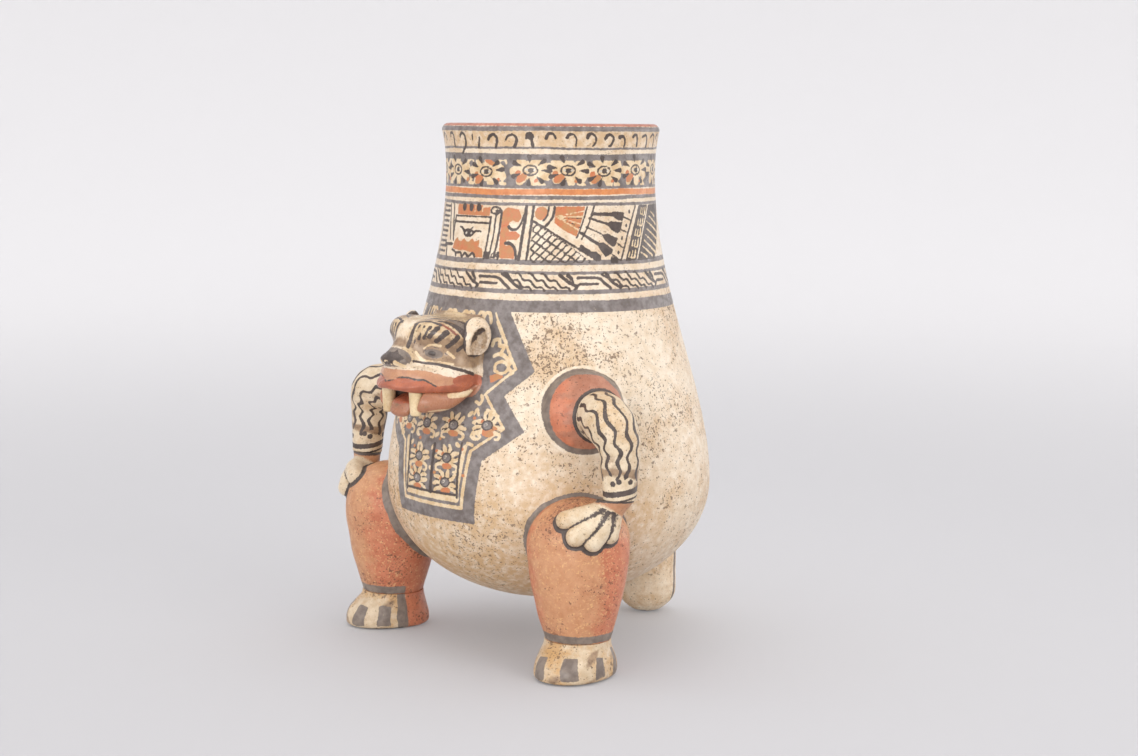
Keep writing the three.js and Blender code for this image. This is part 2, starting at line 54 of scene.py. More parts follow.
# Vessel profile, as in the CAD
RIM_LEVEL = 330.0
SEAM_LEVEL = 216.7
BELLY_RADIUS = 104.0
BELLY_LEVEL = 103.0
UNDERSIDE = 27.0
WAIST_RADIUS = 66.4
WAIST_LEVEL = 300.0
RIM_RADIUS = 69.0
LIP_RADIUS = 4.3
WALL = 7.0
LIP_LEVEL = RIM_LEVEL - LIP_RADIUS

# Places of the attached pieces
LEG_CENTRE = np.array([88.70, -58.04, 0.0])
TAIL_CENTRE = np.array([0.0, 92.0, 0.0])
ANKLE_LEVEL = 23.0
THIGH_LEVEL = 82.0
THIGH_TOP = 108.5
THIGH_RADIUS = 31.0
ANKLE_RADIUS = 19.8
JOINT_GAP = 0.15
LEG_WALL = 6.5
TAIL_RADIUS = 19.8
HEAD_ROOT = 85.8
SHOULDER_ANGLE = 60.0
SHOULDER_LEVEL = 158.0


# Vectors and distances


def vec(*values):
    return np.array(values, float)


def around(degrees, radius, height):
    angle = math.radians(degrees)
    return vec(radius * math.sin(angle), -radius * math.cos(angle), height)


def length(v):
    return np.sqrt((v * v).sum(-1))


def smooth_min(a, b, k):
    h = np.maximum(k - np.abs(a - b), 0) / k
    return np.minimum(a, b) - h * h * k / 4


def smooth_max(a, b, k):
    return -smooth_min(-a, -b, k)


def ramp(low, high, x):
    t = np.clip((x - low) / (high - low), 0, 1)
    return t * t * (3 - 2 * t)


def turn(v, degrees):
    """Turns points about the upright axis."""
    c, s = math.cos(math.radians(degrees)), math.sin(math.radians(degrees))
    return np.stack([v[..., 0] * c - v[..., 1] * s, v[..., 0] * s + v[..., 1] * c, v[..., 2]], -1)


def euler(degrees):
    """The matrix that turns by three angles, about x first, then y, then z."""
    a, b, c = (math.radians(d) for d in degrees)
    return np.array(
        Matrix.Rotation(c, 3, "Z") @ Matrix.Rotation(b, 3, "Y") @ Matrix.Rotation(a, 3, "X")
    )


def ellipsoid(P, centre, half, angles=None):
    """Roughly the distance from an ellipsoid with half sizes, turned by three angles."""
    Q = P - np.asarray(centre, float)
    if angles is not None:
        Q = Q @ euler(angles)
    half = np.asarray(half, float)
    near = length(Q / half)
    return near * (near - 1) / np.maximum(length(Q / half**2), 1e-6)


def oval_distance(Q, half, core):
    """As ellipsoid, about the origin, with a given value near the middle."""
    near = length(Q / half)
    d = near * (near - 1) / np.maximum(length(Q / half**2), 1e-4)
    return np.where(near < 0.05, core, d)


def lumps(P, size, seed):
    """Soft pseudo-random unevenness between about -1 and 1, with swellings of the given size."""
    total = 0
    for i in range(5):
        a, b = 1.7 + 2.399 * (i + seed * 5), 0.6 + 1.3 * (i + seed)
        d = vec(math.cos(a) * math.cos(b), math.sin(a) * math.cos(b), math.sin(b))
        total = total + np.sin(P @ d * (2 * math.pi / size) * (0.8 + 0.13 * i) + 1.9 * i + seed)
    return total / 3


def smooth_path(points, per):
    """A Catmull-Rom curve through points, with per steps between two. They may carry widths."""
    pts = np.array(points, float)
    ends = np.vstack([2 * pts[0] - pts[1], pts, 2 * pts[-1] - pts[-2]])
    out = []
    for i in range(1, len(ends) - 2):
        a, b, c, d = ends[i - 1 : i + 3]
        for t in np.arange(per) / per:
            out.append(0.5 * (
                2 * b + (c - a) * t + (2 * a - 5 * b + 4 * c - d) * t * t
                + (3 * b - a - 3 * c + d) * t**3
            ))
    out.append(pts[-1])
    return np.array(out)


def along(P, path):
    """The distance to a path of (x, y, z, radius) points, less the radius, and how far along."""
    best = np.full(P.shape[:-1], 1e9)
    share = np.zeros(P.shape[:-1])
    for i in range(len(path) - 1):
        a, b = path[i], path[i + 1]
        line = b[:3] - a[:3]
        t = np.clip(((P - a[:3]) @ line) / max(line @ line, 1e-9), 0, 1)
        d = length(P - a[:3] - t[..., None] * line) - (a[3] + t * (b[3] - a[3]))
        nearer = d < best
        best = np.where(nearer, d, best)
        share = np.where(nearer, (i + t) / (len(path) - 1), share)
    return best, share


# The vessel's outside


def bezier(points, t):
    pts = [np.asarray(p, float) for p in points]
    t = np.asarray(t)[:, None]
    while len(pts) > 1:
        pts = [a * (1 - t) + b * t for a, b in zip(pts, pts[1:])]
    return pts[0]


def belly_curve(steps):
    t = np.linspace(0, math.pi / 2, steps)
    return np.stack([
        BELLY_RADIUS * np.sin(t), BELLY_LEVEL - (BELLY_LEVEL - UNDERSIDE) * np.cos(t),
    ], -1)


RISE = WAIST_LEVEL - BELLY_LEVEL
UPPER_CURVE = [
    (BELLY_RADIUS, BELLY_LEVEL),
    (BELLY_RADIUS, BELLY_LEVEL + RISE * 0.29),
    (WAIST_RADIUS, WAIST_LEVEL - RISE * 0.38),
    (WAIST_RADIUS, WAIST_LEVEL),
]
FLARE_CURVE = [
    (WAIST_RADIUS, WAIST_LEVEL),
    (WAIST_RADIUS, WAIST_LEVEL + 0.6 * (LIP_LEVEL - WAIST_LEVEL)),
    (RIM_RADIUS, LIP_LEVEL),
]
PROFILE = np.vstack([
    belly_curve(200),
    bezier(UPPER_CURVE, np.linspace(0, 1, 400))[1:],
    bezier(FLARE_CURVE, np.linspace(0, 1, 60))[1:],
])
PROFILE_LENGTH = np.concatenate([[0], np.cumsum(length(np.diff(PROFILE, axis=0)))])
SLOPE = np.gradient(PROFILE[:, 0]) / np.gradient(PROFILE[:, 1])


def wall_radius(z):
    return np.interp(z, PROFILE[:, 1], PROFILE[:, 0])


LEANING = 250  # the profile's points from here on are above the belly's widest part


def wall_lean(z):
    """How much wider the outside gets for each millimetre up."""
    return np.interp(z, PROFILE[LEANING:, 1], SLOPE[LEANING:])


def wall_distance(P):
    """Distance in front of the vessel's outside."""
    rho = np.hypot(P[..., 0], P[..., 1])
    z = P[..., 2]
    lean = wall_lean(z)
    above = (rho - wall_radius(z)) / np.sqrt(1 + lean * lean)
    half = (BELLY_RADIUS, BELLY_RADIUS, BELLY_LEVEL - UNDERSIDE)
    below = ellipsoid(P, (0, 0, BELLY_LEVEL), half)
    return np.where(z < BELLY_LEVEL, below, above)


# Meshes


LAYERS = {}  # the painted layers of each material, by its name
SHARP_ANGLE = math.radians(62)


def mesh_object(name, verts, faces, node, slot, material, fields=None, body=BODY):
    """A smooth object from points in millimetres. fields are numbers kept at each point."""
    fields = {key: np.full(len(verts), REACH) for key in LAYERS[material.name]} | (fields or {})
    mesh = bpy.data.meshes.new(name)
    verts = (np.asarray(verts) + AXIS) * MM
    sizes = np.array([len(f) for f in faces])
    loops = np.concatenate(faces) if isinstance(faces, list) else faces.ravel()
    mesh.vertices.add(len(verts))
    mesh.vertices.foreach_set("co", verts.ravel())
    mesh.loops.add(len(loops))
    mesh.loops.foreach_set("vertex_index", loops.astype(np.int32))
    mesh.polygons.add(len(sizes))
    starts = np.concatenate([[0], np.cumsum(sizes)[:-1]]).astype(np.int32)
    mesh.polygons.foreach_set("loop_start", starts)
    mesh.update(calc_edges=True)
    mesh.validate()
    mesh.materials.append(material)
    for key, values in fields.items():
        stored = mesh.attributes.new(key, "FLOAT", "POINT")
        stored.data.foreach_set("value", np.asarray(values, np.float32))
    mesh.shade_smooth()
    mesh.set_sharp_from_angle(angle=SHARP_ANGLE)
    obj = bpy.data.objects.new(name, mesh)
    bpy.context.scene.collection.objects.link(obj)
    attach(obj, body)
    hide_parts(node)
    return obj


def turned(profile, angles):
    """Points and faces of a turned profile, which is a ring or has both ends on the axis."""
    profile = np.asarray(profile, float)
    poled = profile[0, 0] < 1e-6
    count = len(angles)
    rings = profile[1:-1] if poled else profile
    r, z = rings[:, :1], rings[:, 1:]
    levels = np.broadcast_to(z, (len(rings), count))
    verts = np.stack([r * np.sin(angles), -r * np.cos(angles), levels], -1).reshape(-1, 3)
    i = np.arange(len(rings) - 1 if poled else len(rings))
    j = np.arange(count)
    a = i[:, None] * count + j
    b = i[:, None] * count + (j + 1) % count
    up = ((i + 1) % len(rings))[:, None] * count
    quads = np.stack([a, b, up + (j + 1) % count, up + j], -1).reshape(-1, 4)
    if not poled:
        return verts, quads
    verts = np.vstack([verts, [[0, 0, profile[0, 1]], [0, 0, profile[-1, 1]]]])
    low, high = len(verts) - 2, len(verts) - 1
    last = (len(rings) - 1) * count
    faces = list(quads)
    faces += [np.array([low, (k + 1) % count, k]) for k in range(count)]
    faces += [np.array([high, last + k, last + (k + 1) % count]) for k in range(count)]
    return verts, faces


CORNERS = [np.array(c) for c in np.ndindex(2, 2, 2)]
EDGES = [(a, b) for a in CORNERS for b in CORNERS if (b - a).sum() == 1 and (b - a).min() == 0]
BLOCK = 4  # cells along a block of the coarse grid, which finds where the surface is
NEAR_CELLS = 5.5  # how close the surface must be to a block's corner, in cells
PULLS = 3  # how often the points are pulled on to the surface
GRADIENT_STEP = 0.05


def skin(field, low, high, step):
    """Points and quads over the surface where field(points) is zero. It is negative inside."""
    low = np.asarray(low, float)
    blocks = np.ceil((np.asarray(high) - low) / step / BLOCK).astype(int)
    count = blocks * BLOCK + 1
    axes = [low[i] + step * np.arange(count[i])[::BLOCK] for i in range(3)]
    coarse = field(np.stack(np.meshgrid(*axes, indexing="ij"), -1))
    near = np.full(blocks, 1e9)
    for c in CORNERS:
        part = coarse[tuple(slice(k, k + n) for k, n in zip(c, blocks))]
        near = np.minimum(near, np.abs(part))
    near = near < NEAR_CELLS * step
    wanted = np.zeros(count, bool)
    spread = near.repeat(BLOCK, 0).repeat(BLOCK, 1).repeat(BLOCK, 2)
    for c in CORNERS:
        wanted[tuple(slice(k, k + n) for k, n in zip(c, spread.shape))] |= spread
    nearest = [np.minimum((np.arange(n) + 2) // BLOCK, b) for n, b in zip(count, blocks)]
    value = coarse[np.ix_(*nearest)]
    where = np.argwhere(wanted)
    value[wanted] = field(low + where * step)
    inside = value < 0
    total = np.zeros(count - 1, int)
    for c in CORNERS:
        total += inside[tuple(slice(k, k + n - 1) for k, n in zip(c, count))]
    mixed = (total > 0) & (total < 8)
    cells = np.argwhere(mixed)
    number = np.full(mixed.shape, -1)
    number[mixed] = np.arange(len(cells))
    place = np.zeros((len(cells), 3))
    hits = np.zeros(len(cells))
    for a, b in EDGES:
        va, vb = value[tuple((cells + a).T)], value[tuple((cells + b).T)]
        cross = (va < 0) != (vb < 0)
        t = np.where(cross, va / np.where(cross, va - vb, 1), 0)
        place[cross] += (a + t[:, None] * (b - a))[cross]
        hits += cross
    verts = low + (cells + place / hits[:, None]) * step
    quads = []
    for d in range(3):
        e, f = (d + 1) % 3, (d + 2) % 3
        first = [slice(None)] * 3
        second = [slice(None)] * 3
        first[d], second[d] = slice(0, -1), slice(1, None)
        a, b = inside[tuple(first)], inside[tuple(second)]
        edge = np.argwhere(a != b)
        for k in (e, f):
            edge = edge[(edge[:, k] > 0) & (edge[:, k] < count[k] - 1)]
        step_e, step_f = np.eye(3, dtype=int)[e], np.eye(3, dtype=int)[f]
        ring = [edge - step_e - step_f, edge - step_f, edge, edge - step_e]
        quad = np.stack([number[tuple(r.T)] for r in ring], -1)
        outward = a[tuple(edge.T)]
        quads.append(np.where(outward[:, None], quad, quad[:, ::-1]))
    quads = np.vstack(quads)
    for _ in range(PULLS):
        ways = GRADIENT_STEP * np.eye(3)
        rise = np.stack([field(verts + way) - field(verts - way) for way in ways], -1)
        grad = rise / (2 * GRADIENT_STEP)
        pull = field(verts) / np.maximum((grad * grad).sum(-1), 0.2)
        verts = verts - np.clip(pull, -0.4 * step, 0.4 * step)[:, None] * grad
    return largest_part(verts, quads)


def largest_part(verts, quads):
    """Leaves out specks of surface that are joined to nothing."""
    label = np.arange(len(verts))
    while True:
        lower = label.copy()
        np.minimum.at(lower, quads.ravel(), label[quads].min(1).repeat(4))
        lower = lower[lower]
        if (lower == label).all():
            break
        label = lower
    keep = label == np.bincount(label).argmax()
    number = np.cumsum(keep) - 1
    return verts[keep], number[quads[keep[quads[:, 0]]]]


def mirrored(verts, faces):
    """The same skin on the cat's other side."""
    return verts * vec(-1, 1, 1), faces[:, ::-1]


# Shapes of the attached pieces, each a distance in millimetres, for the left side

ROOT_SUNK = 1.8


def rooted(P, form, fillet):
    """A form with a fillet where it meets the vessel, sunk a little into the wall."""
    wall = wall_distance(P)
    joined = smooth_min(form, wall, fillet)
    return np.maximum(np.maximum(joined, form - 0.92 * fillet), -(wall + ROOT_SUNK))


def ahead_of_root(P):
    return -(P[..., 1] + HEAD_ROOT)


def mirror_x(P):
    return np.stack([np.abs(P[..., 0]), P[..., 1], P[..., 2]], -1)


WIDEST = 9.0
BEHIND = 34.0
CORNER_RISE = 5.4  # how much higher the mouth is at the wall than at the front


def blunt(P, reach, half_width, top, bottom, k):
    """A thick tongue that grows out of the wall: an oval in plan, rounded at the edge."""
    q = ahead_of_root(P) - WIDEST
    long = np.where(q > 0, reach - WIDEST, BEHIND)
    half = np.stack([np.full_like(long, half_width), long], -1)
    side = oval_distance(np.stack([P[..., 0], q], -1), half, -0.9 * half_width)
    middle, thickness = (top + bottom) / 2, top - bottom
    return smooth_max(side, np.abs(P[..., 2] - middle) - thickness / 2, k)


BROW = vec(16.4, -105.4, 204.6)
EYE = vec(18.9, -112.2, 193.0)
EYE_TURN = (0, 8, 43)
BRIDGE_PATH = np.array([
    (0, -100.0, 199.0, 11.5),
    (0, -112.0, 194.2, 11.0),
    (0, -122.0, 189.8, 8.4),
])


def head_form(P):
    M = mirror_x(P)
    q = ahead_of_root(P)
    crown = 212.6 - 2.2 * ramp(14, 35, q) - 1.6 * (P[..., 0] / 30) ** 2
    form = blunt(P, 34.4, 29.4, crown, 164.0, 9.0)
    brow = ellipsoid(M, BROW, (13.0, 8.4, 6.6), (0, 6, 40))
    form = smooth_min(form, brow, 6.0)
    bridge, _ = along(P, BRIDGE_PATH)
    form = smooth_min(form, bridge, 8.0)
    socket = ellipsoid(M, EYE + vec(0.68, -0.73, 0.2) * 3.4, (10.0, 3.0, 6.4), EYE_TURN)
    form = smooth_max(form, -socket, 3.5)
    eye = ellipsoid(M, EYE - vec(0.68, -0.73, 0) * 1.5, (6.4, 2.6, 3.5), EYE_TURN)
    form = smooth_min(form, eye, 0.9)
    cheek = ellipsoid(M, (22.8, -101.6, 184.0), (13.0, 5.0, 6.4), (0, 12, 54))
    form = smooth_min(form, cheek, 4.0)
    muzzle = blunt(P, 45.4, 30.4, 186.2 - 0.1 * M[..., 0], 168.0, 7.0)
    form = smooth_min(form, muzzle, 2.0)
    wave = 0.9 * np.cos(M[..., 0] * 0.28)
    roll = blunt(P, 48.8, 30.6, 177.4 + wave, 169.4 + 0.5 * wave, 6.6)
    form = smooth_min(form, roll, 1.0)
    nose = ellipsoid(P, (0, -126.6, 187.7), (11.2, 7.4, 4.7), (-16, 0, 0))
    form = smooth_min(form, nose, 3.2)
    nostril = ellipsoid(M, (5.6, -134.6, 187.0), (2.4, 1.8, 1.4), (0, 20, 25))
    form = smooth_max(form, -nostril, 1.2)
    mouth = ellipsoid(P, (0, -120.0, 161.6), (21.0, 20.0, 11.6))
    form = smooth_max(form, -mouth, 1.5)
    form = smooth_max(form, 168.6 + CORNER_RISE * ramp(15, -3, q) - P[..., 2], 1.6)
    return form + 0.25 * lumps(P, 17, 3)


TONGUE_PATH = np.array([
    (0, -100.0, 163.0, 5.2),
    (0, -114.0, 162.8, 4.8),
    (0, -120.8, 160.6, 4.3),
    (0, -123.2, 157.4, 3.6),
])


def jaw_form(P):
    q = ahead_of_root(P)
    bottom = 157.2 + 12.6 * np.clip(1 - q / 26, 0, 1) ** 1.4
    form = blunt(P, 45.0, 31.0, 170.8 + CORNER_RISE * ramp(15, -3, q), bottom, 7.0)
    hollow = ellipsoid(P, (0, -131.0, 168.0), (18.4, 26.0, 16.0))
    form = smooth_max(form, -hollow, 3.0)
    tongue, _ = along(P * vec(0.43, 1, 1), TONGUE_PATH)
    return smooth_min(form, tongue, 2.0) + 0.2 * lumps(P, 13, 5)


def fang_form(P):
    """A blunt peg, thicker where it leaves the lip."""
    centre = vec(12.8, -121.3, 0) + vec(0.1, -0.2, 0) * np.clip((171 - P[..., 2:]) / 16, 0, 1)
    Q = P - centre
    z = P[..., 2]
    side = (np.hypot(Q[..., 0], Q[..., 1]) - np.interp(z, [155, 163, 171], [3.3, 3.9, 4.4])) * 0.98
    return np.maximum(smooth_max(side, 155.2 - z, 1.6), z - 171.4)


EAR = vec(31.4, -90.4, 202.2)
EAR_FACING = vec(0.82, -0.57, 0.08)
EAR_TURN = (-4, 14, 55)
EAR_HOLLOW = EAR_FACING * 5.2 + vec(1.2, 1.8, -4.2)
EAR_HOLLOW_HALF = (5.0, 6.8, 9.8)


def ear_form(P):
    outer = ellipsoid(P, EAR - EAR_FACING * 1.2, (9.6, 6.2, 12.2), EAR_TURN)
    hollow = ellipsoid(P, EAR + EAR_HOLLOW, EAR_HOLLOW_HALF, EAR_TURN)
    return smooth_max(outer, -hollow, 2.0) + 0.15 * lumps(P, 9, 2)


BOSS_HALF = vec(25.2, 15.6)  # radius and height
BOSS_TILT = math.radians(8.0)


def boss_centre():
    return around(SHOULDER_ANGLE, float(wall_radius(SHOULDER_LEVEL)) - 3, SHOULDER_LEVEL)


def boss_frame(P):
    """Distance from the boss's own axis, and height over its base."""
    angle = math.radians(SHOULDER_ANGLE)
    level = math.cos(BOSS_TILT)
    out = vec(math.sin(angle) * level, -math.cos(angle) * level, math.sin(BOSS_TILT))
    Q = P - boss_centre()
    high = Q @ out
    return length(Q - high[..., None] * out), high


def boss_form(P):
    across, high = boss_frame(P)
    dome = oval_distance(np.stack([across, np.maximum(high, 0)], -1), BOSS_HALF, -12.0)
    return dome + 0.2 * lumps(P, 15, 4)


ARM_ANGLE = 64.0
ARM_WALL = float(wall_radius(SHOULDER_LEVEL))
ARM_PATH = smooth_path([
    np.append(around(ARM_ANGLE - 1, ARM_WALL, 156.0), 15.2),
    np.append(around(ARM_ANGLE - 0.5, ARM_WALL + 13.0, 157.0), 15.2),
    np.append(around(ARM_ANGLE, ARM_WALL + 29.0, 154.0), 14.7),
    np.append(around(ARM_ANGLE + 1.6, ARM_WALL + 34.0, 143.6), 12.8),
    np.append(around(ARM_ANGLE + 1.6, ARM_WALL + 35.5, 128.0), 11.1),
    np.append(around(ARM_ANGLE + 1.4, ARM_WALL + 36.5, 111.0), 9.8),
], 4)
WRIST = ARM_PATH[-1, :3]
WRIST_AXIS = (ARM_PATH[-1, :3] - ARM_PATH[-2, :3]) / length(ARM_PATH[-1, :3] - ARM_PATH[-2, :3])


def arm_form(P):
    d, share = along(P, ARM_PATH)
    end = (P - WRIST) @ WRIST_AXIS
    return np.maximum(d, end) + 0.18 * lumps(P, 14, 6) * (share < 0.97)


def on_thigh(degrees, height, lift=0.0):
    return around(degrees, leg_radius(height) + lift, height) + LEG_CENTRE


def leg_radius(z):
    share = np.clip((z - ANKLE_LEVEL) / (THIGH_LEVEL - ANKLE_LEVEL), 0, 1)
    lower = ANKLE_RADIUS + (THIGH_RADIUS - ANKLE_RADIUS) * np.sin(math.pi / 2 * share)
    top = np.clip((z - THIGH_LEVEL) / (THIGH_TOP - THIGH_LEVEL), 0, 1)
    return np.where(z < THIGH_LEVEL, lower, THIGH_RADIUS * np.sqrt(np.maximum(1 - top * top, 0)))


def leg_tube(P, thinner=0.0):
    Q = P - LEG_CENTRE
    across = np.hypot(Q[..., 0], Q[..., 1])
    z = P[..., 2]
    lean = np.where(z < THIGH_LEVEL, 0.25, 0)
    side = (across - leg_radius(np.minimum(z, THIGH_LEVEL))) / np.sqrt(1 + lean * lean)
    half = (THIGH_RADIUS, THIGH_RADIUS, THIGH_TOP - THIGH_LEVEL)
    dome = ellipsoid(P, LEG_CENTRE + vec(0, 0, THIGH_LEVEL), half)
    return np.where(z < THIGH_LEVEL, side, dome) + thinner


VENT_HALF_WIDTH = 2.0
VENT_HALF_HEIGHT = 10.0
LEG_VENT_LEVEL = 58.0
TAIL_VENT_LEVEL = 26.0


def vent(beside, outward, above):
    """A slit through a leg's wall, by how far points are beside, beyond and above its middle."""
    slit = np.maximum(np.abs(beside) - VENT_HALF_WIDTH, np.abs(above) - VENT_HALF_HEIGHT)
    return np.maximum(slit, -outward)


def leg_form(P):
    solid = leg_tube(P) + 0.3 * lumps(P, 24, 7)
    hollow = leg_tube(P, LEG_WALL)
    Q = P - LEG_CENTRE
    slit = vent(Q[..., 0], Q[..., 1], P[..., 2] - LEG_VENT_LEVEL)
    return smooth_max(smooth_max(solid, -hollow, 0.8), -slit, 0.8)


def leg_rooted(P):
    form = leg_form(P)
    return np.maximum(rooted(P, form, 3.0), ANKLE_LEVEL - JOINT_GAP - P[..., 2])


FOOT_TURN = 16.0
# Half sizes of the foot at heights above the floor
FOOT_HEIGHTS = [0.0, 2.5, 8.0, 14.0, 19.3, 22.9]
FOOT_WIDTHS = [21.0, 23.0, 23.0, 21.8, 20.2, 19.8]
FOOT_FRONTS = [29.4, 31.9, 31.1, 27.4, 21.3, 19.8]
FOOT_BACKS = [21.1, 23.1, 23.1, 21.6, 20.2, 19.8]
FOOT_SQUARENESS = 2.15  # 2 would make the sole an oval


def foot_frame(P):
    """Sideways, forwards and up from the ankle's centre, with the toes turned out."""
    Q = P - LEG_CENTRE
    a = math.radians(FOOT_TURN)
    forward = Q[..., 0] * math.sin(a) - Q[..., 1] * math.cos(a)
    sideways = Q[..., 0] * math.cos(a) + Q[..., 1] * math.sin(a)
    return sideways, forward, P[..., 2]


def smooth_sizes(sizes, heights):
    path = smooth_path(list(zip(FOOT_HEIGHTS, sizes)), 8)
    return np.interp(heights, path[:, 0], path[:, 1])


def foot_form(P):
    sideways, forward, z = foot_frame(P)
    fine = np.linspace(0, FOOT_HEIGHTS[-1], 47)
    at = lambda sizes: np.interp(z, fine, smooth_sizes(sizes, fine))
    width, front, back = at(FOOT_WIDTHS), at(FOOT_FRONTS), at(FOOT_BACKS)
    reach = np.where(forward > 0, front, back)
    near = np.abs(sideways / width) ** FOOT_SQUARENESS + np.abs(forward / reach) ** FOOT_SQUARENESS
    near = near ** (1 / FOOT_SQUARENESS)
    across = np.hypot(sideways, forward)
    side = across * (1 - 1 / np.maximum(near, 0.05)) * 0.9
    form = smooth_max(side, -z, 2.5)
    uneven = 0.2 * lumps(P, 16, 8) * ramp(0.5, 4, z) * ramp(22.8, 19, z)
    return np.maximum(form, z - (ANKLE_LEVEL - JOINT_GAP)) + uneven


WRIST_LEVEL = 111.0
KNUCKLE = WRIST + 0.45 * (on_thigh(75, WRIST_LEVEL - 10) - WRIST)
KNUCKLE[2] = WRIST_LEVEL - 6


def finger_path(degrees, height, bulge):
    """From the knuckle to a tip on the thigh, bulging away from the leg."""
    tip = on_thigh(degrees, height, 1.0)
    middle = KNUCKLE + 0.55 * (tip - KNUCKLE)
    out = (middle - LEG_CENTRE) * vec(1, 1, 0)
    middle = middle + out / length(out) * bulge
    return smooth_path([np.append(KNUCKLE, 6.0), np.append(middle, 6.6), np.append(tip, 5.8)], 4)


FINGERTIPS = [(28, 99, 3.5), (43, 90.5, 2.5), (62, 87.5, 1.5), (83, 91, 0.5)]
FINGERS = [finger_path(*tip) for tip in FINGERTIPS]
PALM = np.array([np.append(WRIST - 4 * WRIST_AXIS, 9.8), np.append(KNUCKLE, 8.2)])


def hand_form(P):
    form, _ = along(P, PALM)
    fingers = along(P, FINGERS[0])[0]
    for finger in FINGERS[1:]:
        fingers = smooth_min(fingers, along(P, finger)[0], 1.0)
    form = smooth_min(form, fingers, 3.5) + 0.15 * lumps(P, 11, 9)
    form = np.maximum(form, -((P - WRIST) @ WRIST_AXIS))
    leg = leg_tube(P)
    joined = smooth_min(form, leg, 1.6)
    return np.maximum(np.maximum(joined, form - 1.4), -(leg + 2.0))


def tail_radius(z):
    rise = np.clip(z / 18.0, 0, 1)
    low = 12.0 + (TAIL_RADIUS - 12.0) * np.sqrt(1 - (1 - rise) ** 2)
    return low - np.interp(z, [18, 34, 52, 66, 74, 80, 92], [0, 0, 1, 4, 9, 16, 36])


def tail_form(P):
    Q = P - TAIL_CENTRE
    across = np.hypot(Q[..., 0], Q[..., 1])
    z = P[..., 2]
    side = (across - tail_radius(z)) * 0.9
    ball = ellipsoid(P, TAIL_CENTRE + vec(0, 0, 17.0), (TAIL_RADIUS, TAIL_RADIUS, 17.6))
    side = np.where(z < 17, np.minimum(ball, 50), side)
    form = smooth_max(side, -z, 1.5) + 0.25 * lumps(P, 19, 10) * ramp(1, 6, z)
    hollow = np.maximum(across - (tail_radius(z) - LEG_WALL), 9.0 - z)
    slit = vent(Q[..., 1], -Q[..., 0], z - TAIL_VENT_LEVEL)
    return smooth_max(smooth_max(form, -hollow, 0.8), -slit, 0.8)


# Painting on the vessel

REACH = 2.4  # how far from a painted shape its distance is still worked out
UNPAINTED = 3.0
FAR = 99.0


class Painting:
    """Layers of painted shapes, each the distance to its nearest shape's edge, negative inside."""

    def __init__(self):
        self.layers = {}

    def fields(self):
        return {name: np.clip(values, -REACH, REACH) for name, values in self.layers.items()}


